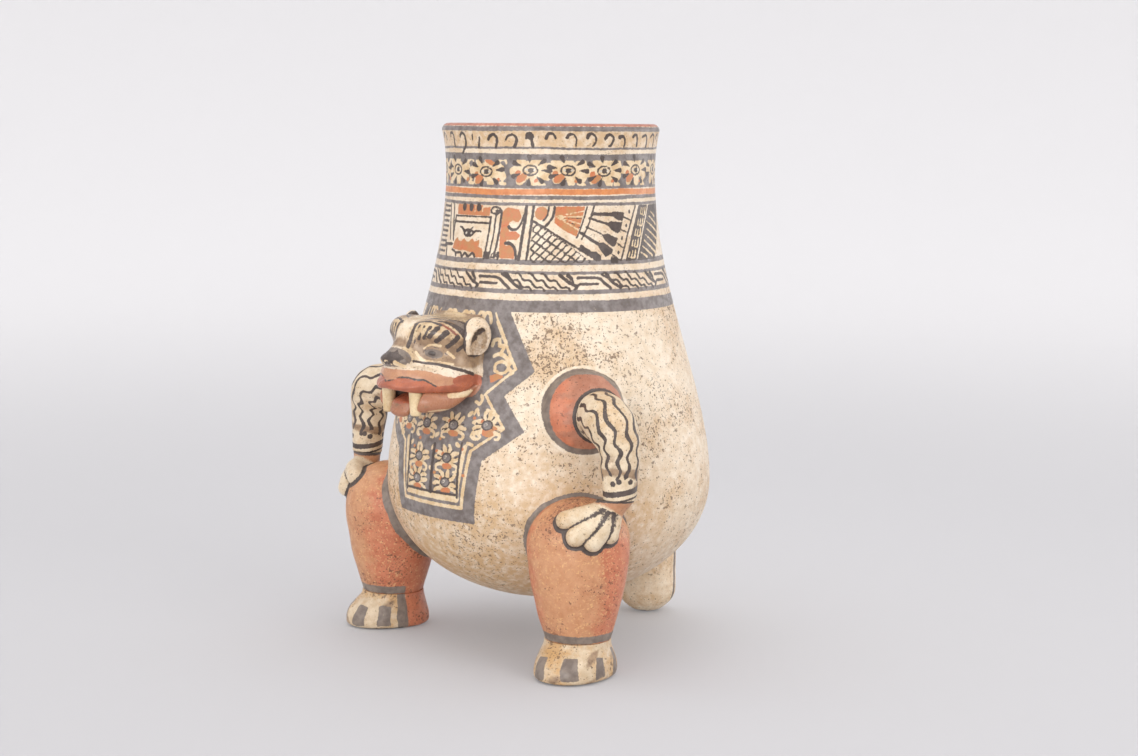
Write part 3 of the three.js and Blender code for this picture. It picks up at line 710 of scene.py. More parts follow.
class Canvas(Painting):
    """A painting whose shapes are given by an angle round the pot and a height."""

    def __init__(self, verts, start):
        super().__init__()
        self.verts = verts
        self.z = verts[:, 2]
        degrees = np.degrees(np.arctan2(verts[:, 0], -verts[:, 1]))
        self.degrees = (degrees - start) % 360 + start
        self.s = np.radians(self.degrees) * wall_radius(self.z)

    def layer(self, name):
        return self.layers.setdefault(name, np.full(len(self.z), REACH))

    def flat(self, points):
        """Points of angle and height, with any widths after them, as millimetres along and up."""
        pts = np.array(points, float)
        pts[:, 0] = np.radians(pts[:, 0]) * wall_radius(pts[:, 1])
        return pts

    def near(self, pts, extra):
        low, high = pts[:, :2].min(0) - extra, pts[:, :2].max(0) + extra
        return np.flatnonzero(
            (self.s > low[0]) & (self.s < high[0]) & (self.z > low[1]) & (self.z < high[1])
        )

    def put(self, name, where, distance):
        layer = self.layer(name)
        layer[where] = np.minimum(layer[where], distance)

    def stroke(self, name, points, width, curved=True):
        """A brush stroke through points, of one width or from a first to a last one."""
        pts = self.flat(points)[:, :2]
        first, last = (width, width) if np.isscalar(width) else width
        if curved and len(pts) > 2:
            pts = smooth_path(pts, 4)
        half = np.linspace(first, last, len(pts)) / 2
        where = self.near(pts, REACH + half.max())
        X = np.stack([self.s[where], self.z[where]], -1)
        best = np.full(len(where), FAR)
        for a, b, ra, rb in zip(pts, pts[1:], half, half[1:]):
            line = b - a
            t = np.clip((X - a) @ line / max(line @ line, 1e-9), 0, 1)
            best = np.minimum(best, length(X - a - t[:, None] * line) - (ra + t * (rb - ra)))
        self.put(name, where, best)

    def oval(self, name, centre, half, lean=0.0, ring=None):
        """An oval with half sizes in millimetres, leant by degrees, or its outline, ring wide."""
        c = self.flat([centre])[0]
        where = self.near(np.array([c]), REACH + max(half))
        x, y = self.s[where] - c[0], self.z[where] - c[1]
        a = math.radians(lean)
        x, y = x * math.cos(a) + y * math.sin(a), y * math.cos(a) - x * math.sin(a)
        d = oval_distance(np.stack([x, y], -1), vec(*half), -min(half))
        self.put(name, where, np.abs(d) - ring / 2 if ring else d)

    def line(self, name, a, b, width):
        """A straight line between two points given in millimetres along and up."""
        where = self.near(np.array([a, b]), REACH + width)
        X = np.stack([self.s[where], self.z[where]], -1) - a
        t = np.clip(X @ (b - a) / ((b - a) @ (b - a)), 0, 1)
        self.put(name, where, length(X - t[:, None] * (b - a)) - width / 2)

    def inset(self, pts, depth):
        """The corners of a clockwise shape, moved inwards so that its sides move by a depth."""
        out = []
        for before, here, after in zip(np.roll(pts, 1, 0), pts, np.roll(pts, -1, 0)):
            one = (here - before) / length(here - before)
            two = (after - here) / length(after - here)
            inward = vec(one[1] + two[1], -one[0] - two[0])
            out.append(here + inward * depth / (1 + one @ two))
        return np.array(out)

    def polygon_distance(self, pts, where):
        X = np.stack([self.s[where], self.z[where]], -1)
        best = np.full(len(X), 1e9)
        inside = np.zeros(len(X), bool)
        for a, b in zip(pts, np.roll(pts, -1, 0)):
            line = b - a
            t = np.clip((X - a) @ line / max(line @ line, 1e-9), 0, 1)
            best = np.minimum(best, length(X - a - t[:, None] * line))
            crosses = (a[1] > X[:, 1]) != (b[1] > X[:, 1])
            rise = line[1] if abs(line[1]) > 1e-9 else 1e-9
            inside ^= crosses & (X[:, 0] < a[0] + line[0] * (X[:, 1] - a[1]) / rise)
        return np.where(inside, -best, best)

    def patch(self, name, points, soften=0.4):
        """A filled shape with slightly rounded corners."""
        pts = self.flat(points)[:, :2]
        where = self.near(pts, REACH)
        self.put(name, where, self.polygon_distance(pts, where) - soften)

    def band(self, name, low, high, wave=0.12):
        """A line right round the pot, as unsteady as a hand-drawn one."""
        a = np.radians(self.degrees)
        drift = wave * (
            np.sin(3 * a + low) + np.sin(7 * a + 2 * high) * 0.6 + np.sin(17 * a + low * 3) * 0.35
        )
        self.put(name, slice(None), np.abs(self.z - (low + high) / 2 - drift) - (high - low) / 2)

    def cut(self, names, other):
        """Keeps some layers out of another one, which is then dropped."""
        hole = self.layers.pop(other)
        for name in names:
            self.layers[name] = np.maximum(self.layer(name), -hole)


def chance(seed):
    """A repeatable stream of numbers between 0 and 1."""
    return np.random.default_rng(seed).random


def paint_hooks(c):
    """Hooks under the lip on the back, each a little different."""
    dice = chance(3)
    angle = 124.0
    while angle < 336.0:
        tall = 323.6 + 0.6 * dice()
        reach = 2.3 + 0.5 * dice()
        low = 316.2 if dice() < 0.75 else 319.5
        c.stroke("ink", [
            (angle - reach, 320.6 + dice()), (angle - reach * 0.75, tall - 0.9), (angle, tall),
            (angle + reach * 0.8, tall - 1.2), (angle + reach, 319.8), (angle + reach * 0.9, low),
        ], (1.7, 1.0))
        angle += 9.6 + 1.6 * dice()


def paint_upper_hooks(c):
    """The hooks under the lip on the front."""
    for points, width in [
        ([(-19, 321.5), (-18, 323.6), (-16, 323.8), (-14.8, 321.5), (-15, 316)], (1.2, 1.4)),
        ([
            (-8.3, 321.8), (-6.5, 323.8), (-4.2, 323), (-3.6, 320), (-4, 316), (-7.2, 311.6),
        ], (1.4, 1.6)),
        ([(2.3, 323), (2.0, 320)], (0.9, 1.1)),
        ([(7.2, 321.4), (6.2, 315.5)], (0.9, 1.6)),
        ([
            (13, 320.3), (14.4, 322.4), (16.5, 323.2), (18.2, 321), (18, 318), (17.3, 315.6),
        ], (1.7, 1.5)),
        ([
            (23.3, 320), (24.6, 322.3), (27, 323.2), (29.3, 321.2), (29, 318.5), (28, 315.8),
        ], (1.0, 1.8)),
        ([(37.2, 320), (37.8, 316)], (1.4, 1.7)),
        ([(44.6, 321), (45.6, 323.6), (47.3, 324.2), (49, 322.6), (49.4, 320.8)], (1.6, 1.0)),
        ([(55.2, 321.6), (56.6, 323.6), (58.6, 323.4), (60.2, 320.6), (60, 316.5)], (1.6, 0.9)),
        ([
            (66, 321.6), (66.6, 323.4), (68.4, 324), (70.6, 322), (70.6, 318.6), (69.2, 316.4),
        ], (1.8, 0.9)),
        ([
            (76, 321), (77.4, 323.2), (80, 323), (81.2, 320.4), (79.8, 317), (78.8, 316.6),
        ], (1.6, 1.2)),
        ([(85, 321.8), (86.5, 322.6), (88.3, 321.6), (89, 319), (88.6, 316)], (2.0, 0.9)),
        ([(94.6, 322), (96, 323.4), (97.8, 322.8), (98.6, 319.5), (98.4, 316.4)], (1.6, 1.3)),
        ([(103, 322.2), (105.5, 323.3), (107.6, 322), (108.3, 319), (108, 316)], (1.3, 1.5)),
        ([(112.6, 322), (115, 323.8), (117.6, 322.4), (118.2, 319), (117.8, 316.2)], (1.2, 1.2)),
    ]:
        c.stroke("ink", points, (width[0] * 1.25, width[1] * 1.2))
    c.oval("ink", (36.2, 322.6), (2.7, 2.5))
    c.oval("ink", (34.8, 321.4), (1.4, 1.0), 30)


def rosette(c, angle, height, dice, red):
    """A flower with a dark-ringed eye, pale petals that leave dark notches, and one red petal."""
    wide = 1 / (math.radians(1) * float(wall_radius(height)))
    size = 1.02
    count = 7
    c.oval("pale", (angle, height), (7.6 * size, 5.6 * size))
    for i in range(count):
        a = 2 * math.pi * (i + 0.35 * dice()) / count + 0.3
        x, y = math.cos(a) * 9.4 * size, math.sin(a) * 6.0 * size
        half = ((3.6 + 1.0 * dice()) * size, (2.3 + 0.7 * dice()) * size)
        c.oval("pale", (angle + x * wide, height + y), half, math.degrees(a) + 30 * (dice() - 0.5))
        b = a + math.pi / count * (0.8 + 0.4 * dice())
        x, y = math.cos(b) * 9.0 * size, math.sin(b) * 6.2 * size
        c.stroke("ink", [
            (angle + x * wide * 0.74, height + y * 0.74),
            (angle + x * wide * 1.3, height + y * 1.3),
        ], (0.6 * size, 3.0 * size))
        at = (angle + x * wide * 1.25, height + y * 1.1)
        c.oval("warm", at, (1.2 * dice(), 0.8 * dice()), 90 * dice())
    if red:
        for x, y, long, short, lean in [(5.4, 4.6, 3.8, 2.2, 35), (7.8, 2.0, 2.2, 1.7, 60)]:
            at = (angle - x * size * wide, height - y * size)
            c.oval("warm", at, (long * size, short * size), lean)
    c.oval("ink", (angle, height), (4.3 * size, 2.9 * size), ring=1.1)
    c.oval("ink", (angle + 0.4 * wide, height), (2.2 * size, 1.5 * size))
    for shift in (-2.2, 2.4):
        c.oval("glint", (angle + shift * size * wide, height + 0.2), (0.8 * size, 0.9 * size), 20)


def paint_rosettes(c):
    dice = chance(11)
    for angle, height in [
        (-12.6, 301.4), (10.6, 300.6), (36.4, 301.8), (56.2, 301.8), (76.4, 301.4), (99.0, 302.0),
    ]:
        rosette(c, angle, height, dice, angle > 0)
    angle = 121.0
    while angle < 335.0:
        rosette(c, angle, 301.4 + dice() * 0.8, dice, dice() < 0.8)
        angle += 20.6
    c.oval("warm", (13.6, 306.2), (4.2, 1.5), -20)
    for k in range(17):
        between = -1.0 + 21.2 * k
        c.stroke("pale", [
            (between - 2.6, 303.4), (between - 1.0, 307.4), (between + 1.8, 308.2),
            (between + 3.0, 306.0),
        ], (2.4, 1.4))
        c.stroke("pale", [
            (between - 1.6, 299.4), (between + 0.6, 300.6), (between + 2.0, 298.0),
            (between + 0.6, 296.0),
        ], (1.4, 2.4))
        c.oval("pale", (between + 0.8, 293.4), (2.8, 1.4), -10)
        c.oval("warm", (between - 2.0, 295.6), (1.5, 1.1), 40)
    c.band("edge", 307.9, 313.0, 0.1)
    c.band("edge", 288.6, 292.6, 0.1)
    c.cut(("pale", "warm"), "edge")


def paint_panel_front(c):
    """The framed square with the eye, the red figure beside it and the bar that ends them."""
    for i in range(10):
        z = 250.55 + 3.1 * i
        c.stroke("ink", [(-30.5, z), (-20.5, z)], 1.5)
    for points, width in [
        ([(-31, 280), (-31, 248)], 1.6),
        ([(-19.6, 280), (-18, 268), (-15.6, 258)], 1.4),
        ([(-15.2, 280), (-14.2, 268), (-12.4, 258.5)], 1.5),
        ([(-12.2, 273), (-12.8, 262), (-12, 257.6)], 1.5),
        ([(-21, 255), (-12.4, 255.4)], 1.8),
        ([(-19, 255), (-17.6, 248)], 1.8),
        ([(-12, 252), (-9, 250.8), (-7.6, 248.4)], 1.5),
        ([
            (-7.8, 250.4), (-4, 250.6), (-2.6, 248), (-0.6, 250.6), (2.4, 248.6), (5, 250.8),
            (7, 248.4),
        ], 1.6),
        ([(-12.4, 273), (14.6, 273)], 1.2),
        ([(-11.6, 269.4), (14.4, 269.4)], 1.4),
        ([(14.8, 273.2), (14, 262), (12.6, 248)], 1.4),
        ([(17.8, 274), (17, 262), (15.4, 249)], 1.2),
        ([(21, 277), (20, 262), (18.2, 249)], 1.6),
    ]:
        c.stroke("ink", points, width)
    c.patch("ink", [(12.2, 248), (15.8, 248), (15.8, 251.8), (12.4, 251.8)])
    c.oval("ink", (17.9, 249.8), (1.5, 1.3), ring=0.9)
    c.stroke("ink", [(20.4, 251.5), (20.6, 248)], 1.8)
    c.oval("ink", (17.6, 277.2), (3.4, 2.2), ring=1.2)
    c.oval("ink", (18.6, 277.0), (1.6, 0.7))
    c.patch("warm", [
        (-10.4, 274.2), (13.6, 274.2), (13.9, 278.6), (9, 278.2), (9, 279.8), (-10.4, 279.8),
    ])
    for angle in (-4.6, 1.0, 6.6):
        c.oval("ink", (angle, 278.6), (2.0, 2.6))
    for angle in (3.8, 9.0):
        c.stroke("pale_line", [(angle, 276.0), (angle + 0.4, 279.5)], 0.7)
    c.oval("ink", (0.4, 262.9), (4.9, 2.6))
    for points, width in [
        ([(3, 263), (6, 264.2), (9.2, 264)], (2.0, 1.1)),
        ([(-3, 264), (-5.4, 266), (-7.8, 266.4)], (2.2, 0.8)),
        ([(1.6, 264.8), (3.4, 266.6)], 0.9),
    ]:
        c.stroke("ink", points, width)
    for angle in (-1.2, 2.4):
        c.oval("glint", (angle, 262.8), (0.95, 0.85))
    c.patch("warm", [
        (-11.4, 253.2), (-10.4, 257.4), (-8.6, 259.2), (-6.4, 257.2), (-4.4, 257.2), (-2.2, 259.2),
        (-0.4, 257.2), (1.6, 257.2), (3.6, 259.2), (5.4, 257.2), (8.4, 258.6), (8.6, 256.2),
        (6.4, 255.2), (10.8, 253.4), (11.4, 248.8), (6.6, 248.8), (5.6, 251.4), (-2, 252.6),
        (-6, 252.2),
    ])
    c.patch("warm", [
        (21.6, 249.2), (28.6, 249.0), (29.2, 253.4), (26.6, 256.0), (23.8, 255.4), (24.2, 260.4),
        (29.8, 260.2), (31.2, 262.4), (29, 264.4), (25, 264.0), (24.8, 269.8), (27.6, 272.2),
        (30.2, 270.8), (31.8, 273.6), (30.4, 277.6), (24.2, 278.6), (22.2, 276.4), (21.2, 262),
    ], 0.6)
    for points, width in [
        ([(25.2, 267.8), (27, 266.0), (30, 266.4), (32.2, 270.4), (33, 274.6)], (1.8, 1.1)),
        ([(24.2, 257.6), (26.8, 257.4), (29.2, 254.4), (30.2, 248.4)], (2.2, 1.6)),
        ([(34.6, 280), (34, 272), (32.8, 262), (31.6, 248)], 2.0),
        ([(38.4, 280), (37.4, 270), (36.6, 262), (35.4, 248)], 1.6),
    ]:
        c.stroke("ink", points, width)


def paint_net(c):
    """A net in a corner, under a red disc and a red fan."""
    slope_down, slope_up = -0.62, 1.2
    corner = c.flat([(38.0, 271.4)])[0]
    left = np.radians(36.8 + (c.z - 248) * 0.06) * wall_radius(c.z)
    down = (c.z - corner[1] - slope_down * (c.s - corner[0])) / math.hypot(1, slope_down)
    region = np.maximum(down, left - c.s)
    rise = (c.z - 248 - slope_up * (c.s - corner[0])) / math.hypot(1, slope_up)
    lines = np.minimum(np.abs((down + 2.35) % 4.7 - 2.35), np.abs((rise + 1.9) % 3.8 - 1.9)) - 0.55
    near = (c.z < 273) & (c.z > 246) & (c.degrees > 30) & (c.degrees < 80)
    where = np.flatnonzero(near & (region < 1.0))
    c.put("ink", where, np.maximum(lines, region)[where])
    c.stroke("ink", [(38.0, 271.6), (54, 260.0), (70.4, 247.6)], 1.3, False)
    c.oval("warm", (42.4, 276.0), (4.0, 4.0))
    c.stroke("ink", [(46.2, 280), (45.6, 275), (43.4, 271.6)], 1.2)
    c.stroke("ink", [(49.2, 280), (48.6, 275), (46.4, 270.6), (44.8, 268.6)], 1.7)
    c.patch("warm", [
        (50.0, 279.8), (65.0, 279.8), (63.2, 273), (60.2, 262.6), (55, 265.6), (49.4, 270.4),
    ])
    for end, width in [
        ((64.6, 277.4), 0.7), ((63.8, 274.0), 1.1), ((62.4, 269.6), 0.8), ((61.4, 266.0), 1.0),
    ]:
        c.stroke("pale_line", [(49.6, 274.2), end], (0.5, width))
    for end in [(64.2, 273.0), (62.0, 267.6)]:
        c.stroke("ink", [(52.0, 273.6), end], 0.5)
    c.stroke("ink", [(66.4, 280), (63.6, 270), (60.4, 261.4)], 1.1)
    c.stroke("ink", [(70.2, 280), (67.2, 270), (63.0, 260.6)], 1.1)


def paint_feathers(c):
    """Dark feathers that fan out from a bar to dotted squares, then the bars beyond them."""
    for stem, width, vane in [
        ([(69.0, 275.6), (80.7, 275.2)], 2.0, [
            (79.8, 275.0), (81.3, 276.8), (89.0, 275.9), (87.3, 271.1), (83.9, 272.4),
        ]),
        ([(67.4, 273.2), (72.9, 271.0), (78.1, 269.3)], 1.3, [
            (77.3, 269.4), (79.8, 270.9), (87.0, 269.9), (85.7, 265.7), (83.8, 263.7),
            (80.1, 266.0),
        ]),
        ([(65.2, 267.9), (70.1, 265.5), (74.8, 262.7)], 0.9, [
            (74.3, 262.6), (77.2, 263.5), (83.3, 260.3), (81.0, 256.0), (79.4, 256.2),
            (75.9, 259.4),
        ]),
        ([(62.7, 264.1), (67.4, 260.5), (72.0, 257.2)], 1.7, [
            (71.2, 257.2), (74.3, 258.2), (79.9, 253.7), (78.3, 251.4), (75.4, 249.9),
            (73.3, 252.9),
        ]),
        ([(62.5, 256.4), (65.2, 253.9), (71.8, 248.3)], 2.0, [
            (67.6, 252.6), (70.0, 252.7), (72.8, 249.8), (71.5, 247.2), (68.5, 250.5),
        ]),
    ]:
        c.stroke("ink", stem, (width, width * 1.2))
        c.patch("ink", vane, 0.3)
    for a, b in [
        ((88.8, 273.3), (93.9, 271.0)), ((85.6, 265.9), (90.6, 263.8)),
        ((82.2, 258.1), (86.1, 254.7)), ((79.1, 250.8), (83.7, 247.2)),
    ]:
        c.stroke("ink", [a, b], 1.0)
    c.patch("ink", [(78.4, 249.2), (82.4, 248.4), (82.0, 246.0), (78.3, 246.0)])
    for angle, z in [(92.9, 276.5), (89.9, 268.2), (86.2, 260.5), (83.0, 252.0)]:
        c.oval("ink", (angle, z), (1.0, 1.2), 20)
    c.stroke("ink", [(98.0, 280), (90.7, 263.6), (84.3, 247.4)], 1.4)
    c.patch("ink", [
        (101.2, 280), (110.2, 280), (101.4, 263.0), (94.4, 247.0), (87.2, 247.0), (93.8, 263.3),
    ], 0.3)
    for angle, z in [(105.0, 276.8), (101.6, 270.2), (98.4, 264.0), (95.3, 257.6), (92.0, 251.0)]:
        c.stroke("pale_line", [
            (angle - 2.2, z - 2.0), (angle + 1.6, z - 2.6), (angle + 3.0, z + 1.8),
        ], (0.8, 1.0))
        for k in range(3):
            a = angle - 2.6 + 2.0 * k
            c.stroke("pale_line", [(a, z - 2.0), (a + 1.4, z + 1.7)], (1.0, 0.8), False)
    c.patch("ink", [
        (112.0, 280), (131, 280), (122, 262), (112, 247), (95.8, 247), (103.0, 263.0),
    ], 0.3)
    for a, b in [
        ((114.6, 276.0), (120.6, 272.6)), ((111.4, 273.4), (121.6, 267.6)),
        ((108.4, 270.1), (122.1, 262.5)), ((107.1, 265.7), (121.2, 257.6)),
        ((105.6, 261.9), (119.4, 252.4)), ((103.4, 258.6), (115.6, 249.6)),
        ((101.4, 255.0), (109.9, 248.8)), ((99.2, 251.4), (104.0, 248.4)),
    ]:
        c.stroke("pale_line", [a, b], (0.8, 1.5), False)


def paint_waves(c):
    """The low band: cells of slanting wavy lines between cells of level bars."""
    def cell(left, right):
        for k in range(4):
            a = left + (right - left) * 0.23 * k
            pts = []
            for i in range(17):
                t = i / 16
                swing = math.sin(t * 5.0 * math.pi)
                pts.append((a + t * 14.0, 239.8 - 10.2 * t + 0.95 * swing))
            c.stroke("ink", pts, 1.35)

    def bars(left, right):
        for points, width in [
            ([
                (left + 2.0, 237.3), (right - 3.2, 237.0), (right + 0.4, 233.8),
                (right + 3.4, 230.6),
            ], 1.8),
            ([(left + 3.0, 233.6), (right - 3.0, 233.4)], (1.9, 1.5)),
            ([
                (left - 6.6, 239.2), (left - 2.0, 234.4), (left + 1.6, 232.2), (left + 0.6, 230.6),
            ], (2.0, 1.7)),
            ([(left - 2.6, 239.2), (left - 0.8, 236.4), (left - 0.2, 234.4)], (2.4, 1.2)),
            ([
                (right - 1.0, 239.4), (right + 2.4, 236.8), (right + 5.6, 233.4),
                (right + 9, 230.8),
            ], (1.4, 2.0)),
        ]:
            c.stroke("ink", points, width)

    left = -24.0
    bars(-44, -26)
    while left < 300:
        cell(left, left + 26)
        bars(left + 33.5, left + 48.5)
        left += 48.6


# Layer, lowest and highest point, unsteadiness
NECK_BANDS = [
    ("ground", 325.4, 328.3, 0.12), ("ground", 314.4, 315.8, 0.25),
    ("ground", 290.9, 311.7, 0.12), ("ground", 284.3, 286.6, 0.2),
    ("ground", 280.4, 282.3, 0.12), ("ground", 244.9, 247.9, 0.12),
    ("ground", 239.3, 241.2, 0.12), ("ground", 227.7, 230.4, 0.12),
    ("ground", 210.0, 223.9, 0.2), ("orange", 287.0, 290.5, 0.25),
]


PANEL_RUNS = (0.0, 164.0, 259.0)
SEAMS = (-133.0, 47.0)  # the angles at which the neck's two canvases start


def paint_panels(c, first):
    """The panels over the low band, in runs of which the last is only a net."""
    for run in PANEL_RUNS:
        moved = Canvas(turn(c.verts, -run), first - run)
        moved.layers = c.layers
        paint_net(moved)
        if run < PANEL_RUNS[-1]:
            paint_panel_front(moved)
            paint_feathers(moved)


def paint_neck(verts):
    layers = {}
    # a shape that crosses the seam of one canvas is whole on the other
    for first in SEAMS:
        c = Canvas(verts, first)
        c.layers = layers
        for band in NECK_BANDS:
            c.band(*band)
        paint_upper_hooks(c)
        paint_hooks(c)
        paint_rosettes(c)
        paint_panels(c, first)
        paint_waves(c)
    outer = np.hypot(verts[:, 0], verts[:, 1]) > wall_radius(c.z) - 3.0
    c.layers["rim"] = np.where(outer, 328.4 - c.z, 308.0 - c.z)
    c.layers["inside"] = np.where(outer, UNPAINTED, -UNPAINTED)
    for name in ("ground", "orange", "pale", "warm", "ink", "glint", "pale_line"):
        c.layers[name] = np.where(outer | (c.z > 326), c.layer(name), UNPAINTED)
    fields = c.fields()
    hooks = ramp(314, 317, c.z) * ramp(327, 325, c.z)
    fields["stain_and_shade"] = np.clip(0.8 * hooks + 0.25 * lumps(verts, 40, 6) * (c.z < 312), 0, 0.7)
    return fields


def small_rosette(c, angle, z, dice):
    """A bib flower: a dark-ringed eye, pale petals above and beside it and a red petal below."""
    wide = 1 / (math.radians(1) * float(wall_radius(z)))
    c.oval("pale", (angle, z), (4.9, 4.0))
    for i in range(6):
        a = math.radians(-16 + 212 * (i + 0.3 * dice()) / 5.3)
        x, y = math.cos(a), math.sin(a)
        bend = 0.25 * (dice() - 0.4)
        c.stroke("pale", [
            (angle + x * 4.6 * wide, z + y * 3.8),
            (angle + (x - bend * y) * 7.0 * wide, z + (y + bend * x) * 5.8),
            (angle + (x - bend * 2 * y) * 9.4 * wide, z + (y + bend * 2 * x) * 7.4),
        ], (3.9, 2.0))
        x, y = math.cos(a + 0.36), math.sin(a + 0.36)
        c.stroke("ink", [
            (angle + x * 4.2 * wide, z + y * 3.4), (angle + x * 7.4 * wide, z + y * 6.0),
        ], (0.5, 1.3))
    for side in (-1, 1):
        curl = [(2.4, 4.0), (5.8, 4.0), (8.2, 5.4), (7.8, 7.8), (5.6, 8.0)]
        c.stroke("pale", [(angle + side * x * wide, z - y) for x, y in curl], (2.6, 1.4))
        c.stroke("ink", [
            (angle + side * 4.0 * wide, z - 2.2), (angle + side * 8.4 * wide, z - 3.4),
        ], (0.4, 1.0))
    c.oval("warm", (angle + 0.4, z - 5.0), (4.0, 1.9), 12 * (dice() - 0.5))
    c.oval("warm", (angle - 3.4 * wide, z + 2.4), (1.5, 1.0), 50)
    c.oval("eye", (angle, z), (3.6, 2.8))
    c.oval("ink", (angle, z), (3.4, 2.7), ring=1.0)
    c.oval("glint", (angle - 0.6, z + 0.4), (1.0, 0.7), 30, ring=0.4)


BIB = [
    (-29.7, 218.0), (29.7, 218.0), (30.2, 215.0), (41.3, 181.7), (30.1, 167.0), (38.4, 146.4),
    (23.7, 128.3), (21.2, 89.2), (-16.4, 90.6), (-20.0, 128.0), (-38.0, 146.4), (-30.1, 167.0),
    (-41.3, 181.7), (-30.2, 215.0),
]


def paint_bib(c):
    dice = chance(21)
    pts = c.flat(BIB)[:, :2]
    where = c.near(pts, REACH)
    deep = np.full(len(c.z), FAR)
    deep[where] = c.polygon_distance(pts, where)
    c.put("ground", slice(None), deep)
    outline = c.inset(pts, 9.2)
    for a, b in zip(range(2, 13), range(3, 14)):
        c.line("pale", outline[a], outline[b], 2.3 if 5 < a < 9 else 1.7)
    inner = c.inset(pts, 13.5)
    raised = vec(0, 1.1)
    c.line("pale", inner[6], inner[7], 2.9)
    c.line("pale", inner[7] + raised, inner[8] + raised, 4.6)
    c.line("pale", inner[8], inner[9], 2.9)
    # dark lines round and between two columns of flowers
    c.stroke("ink", [(2.8, 106), (3.2, 135)], 2.4)
    c.stroke("ink", [(-10.5, 106.4), (14.4, 106.2)], 1.6, False)
    c.stroke("ink", [(14.6, 105), (14.8, 128), (15.4, 138)], (1.8, 1.2))
    c.stroke("ink", [(-10.4, 105), (-10.8, 128), (-11.4, 138)], (1.8, 1.2))
    for angle, z in [
        (-4.6, 126.6), (9.4, 128.0), (-4.6, 113.0), (9.4, 113.2),
        (-2.8, 147.0), (10.6, 148.0), (-15.0, 147.6), (24.6, 149.4), (-24.6, 149.4),
    ]:
        small_rosette(c, angle, z, dice)
    for side in (1, -1):
        for points, width in [
            ([
                (23.0, 196.4), (23.6, 199.6), (25.8, 199.8), (26.2, 196.8), (28.0, 196.0),
                (27.4, 193.2),
            ], 2.3),
            ([(24.4, 190.4), (26.6, 191.6), (28.8, 190.4), (30.4, 188.2), (31.2, 186.0)], 2.4),
            ([
                (25.2, 181.8), (25.4, 185.8), (28.2, 187.2), (30.6, 185.0), (30.0, 181.4),
                (27.4, 180.2), (25.4, 181.8),
            ], 1.9),
            ([(31.0, 183.0), (32.6, 181.2), (31.4, 179.8)], 2.0),
            ([(19.0, 163.0), (20.6, 161.6), (21.6, 164.4), (21.0, 166.6)], 1.9),
            ([(19.0, 155.4), (20.0, 158.8), (20.8, 155.2)], 1.6),
            ([(24.0, 158.4), (26.4, 157.0), (28.2, 154.4)], 1.9),
            ([(19.4, 145.4), (18.6, 142.4), (20.4, 140.6), (22.2, 142.0), (21.0, 144.0)], 1.6),
            ([(17.6, 138.0), (19.6, 137.2)], 2.0),
            ([(22.4, 146.0), (24.6, 144.2)], 1.6),
            ([(22.6, 215.6), (25.6, 208), (29.2, 198.4)], 1.1),
        ]:
            c.stroke("pale", [(a * side, z) for a, z in points], width)
        c.patch("warm", [
            (24.2 * side, 175.0), (28.8 * side, 178.4), (26.0 * side, 179.6), (23.6 * side, 178.2),
        ], 0.5)
        c.patch("warm", [
            (23.4 * side, 144.4), (28.4 * side, 147.6), (26.6 * side, 149.4), (23.0 * side, 147.0),
        ], 0.5)
    for angle in (-17.3, -2.0, 8.5, 17.3):
        c.stroke("pale", [
            (angle - 3.6, 210.0), (angle - 2.7, 214.8), (angle - 0.9, 215.6), (angle - 0.2, 212.6),
        ], 2.2)
        c.stroke("pale", [
            (angle - 0.2, 212.6), (angle + 0.9, 215.7), (angle + 2.7, 215.0), (angle + 3.7, 210.0),
        ], 2.2)
    for row, (angle, z) in enumerate([
        (2.6, 133.6), (2.4, 120.4), (-10.2, 120.6), (15.0, 120.8), (-10.0, 134.0), (13.6, 136.4),
        (3.6, 141.0), (-7.2, 139.6), (17.4, 155.4),
    ]):
        c.oval("pale", (angle, z), (2.3, 1.3), 40 - 70 * (row % 2))
        c.oval("warm", (angle + 1.9, z - 2.2), (1.3, 1.0), 10)
    c.stroke("pale", [(-10.6, 216.0), (-13.0, 212.4)], 0.9)
    c.cut(("pale", "warm"), "eye")


def paint_bowl(verts):
    c = Canvas(verts, SEAMS[0])
    paint_bib(c)
    outer = wall_distance(verts) > -3.0
    for name in ("ground", "pale", "warm", "ink", "glint"):
        c.layers[name] = np.where(outer, c.layer(name), UNPAINTED)
    side = mirror_x(verts)
    across, high = boss_frame(side)
    around_bosses = across - 26.0 - 0.8 * lumps(verts, 26, 3)
    around_legs = np.minimum(leg_tube(side), 30) - 2.3 - 0.6 * lumps(verts, 21, 2)
    c.layers["grey"] = np.minimum(
        np.where(outer & (high > -12), around_bosses, UNPAINTED),
        np.where(outer & (verts[:, 2] < 115), around_legs, UNPAINTED),
    )
    c.layers["inside"] = np.where(outer, UNPAINTED, -UNPAINTED)
    fields = c.fields()
    x, y, z = verts.T
    front = ramp(60, -60, y)
    # partly real stains and partly painted shade, more of it low on the front and towards the
    # bottom, and fewer specks behind on the left
    stain_and_shade = 0.75 * ramp(165, 95, z) * front + 0.35 * ramp(80, 45, z) + 0.16 * lumps(verts, 46, 6)
    fields["stain_and_shade"] = np.clip(stain_and_shade, 0, 0.85)
    specks = 0.12 + 0.5 * ramp(120, 180, z) + 0.35 * ramp(40, 75, z) + 0.3 * lumps(verts, 60, 8)
    fields["specks"] = np.clip(specks - 0.6 * ramp(20, 90, x * 0.5 + y * 0.86), -0.8, 0.9)
    return fields


# Painting on the attached pieces


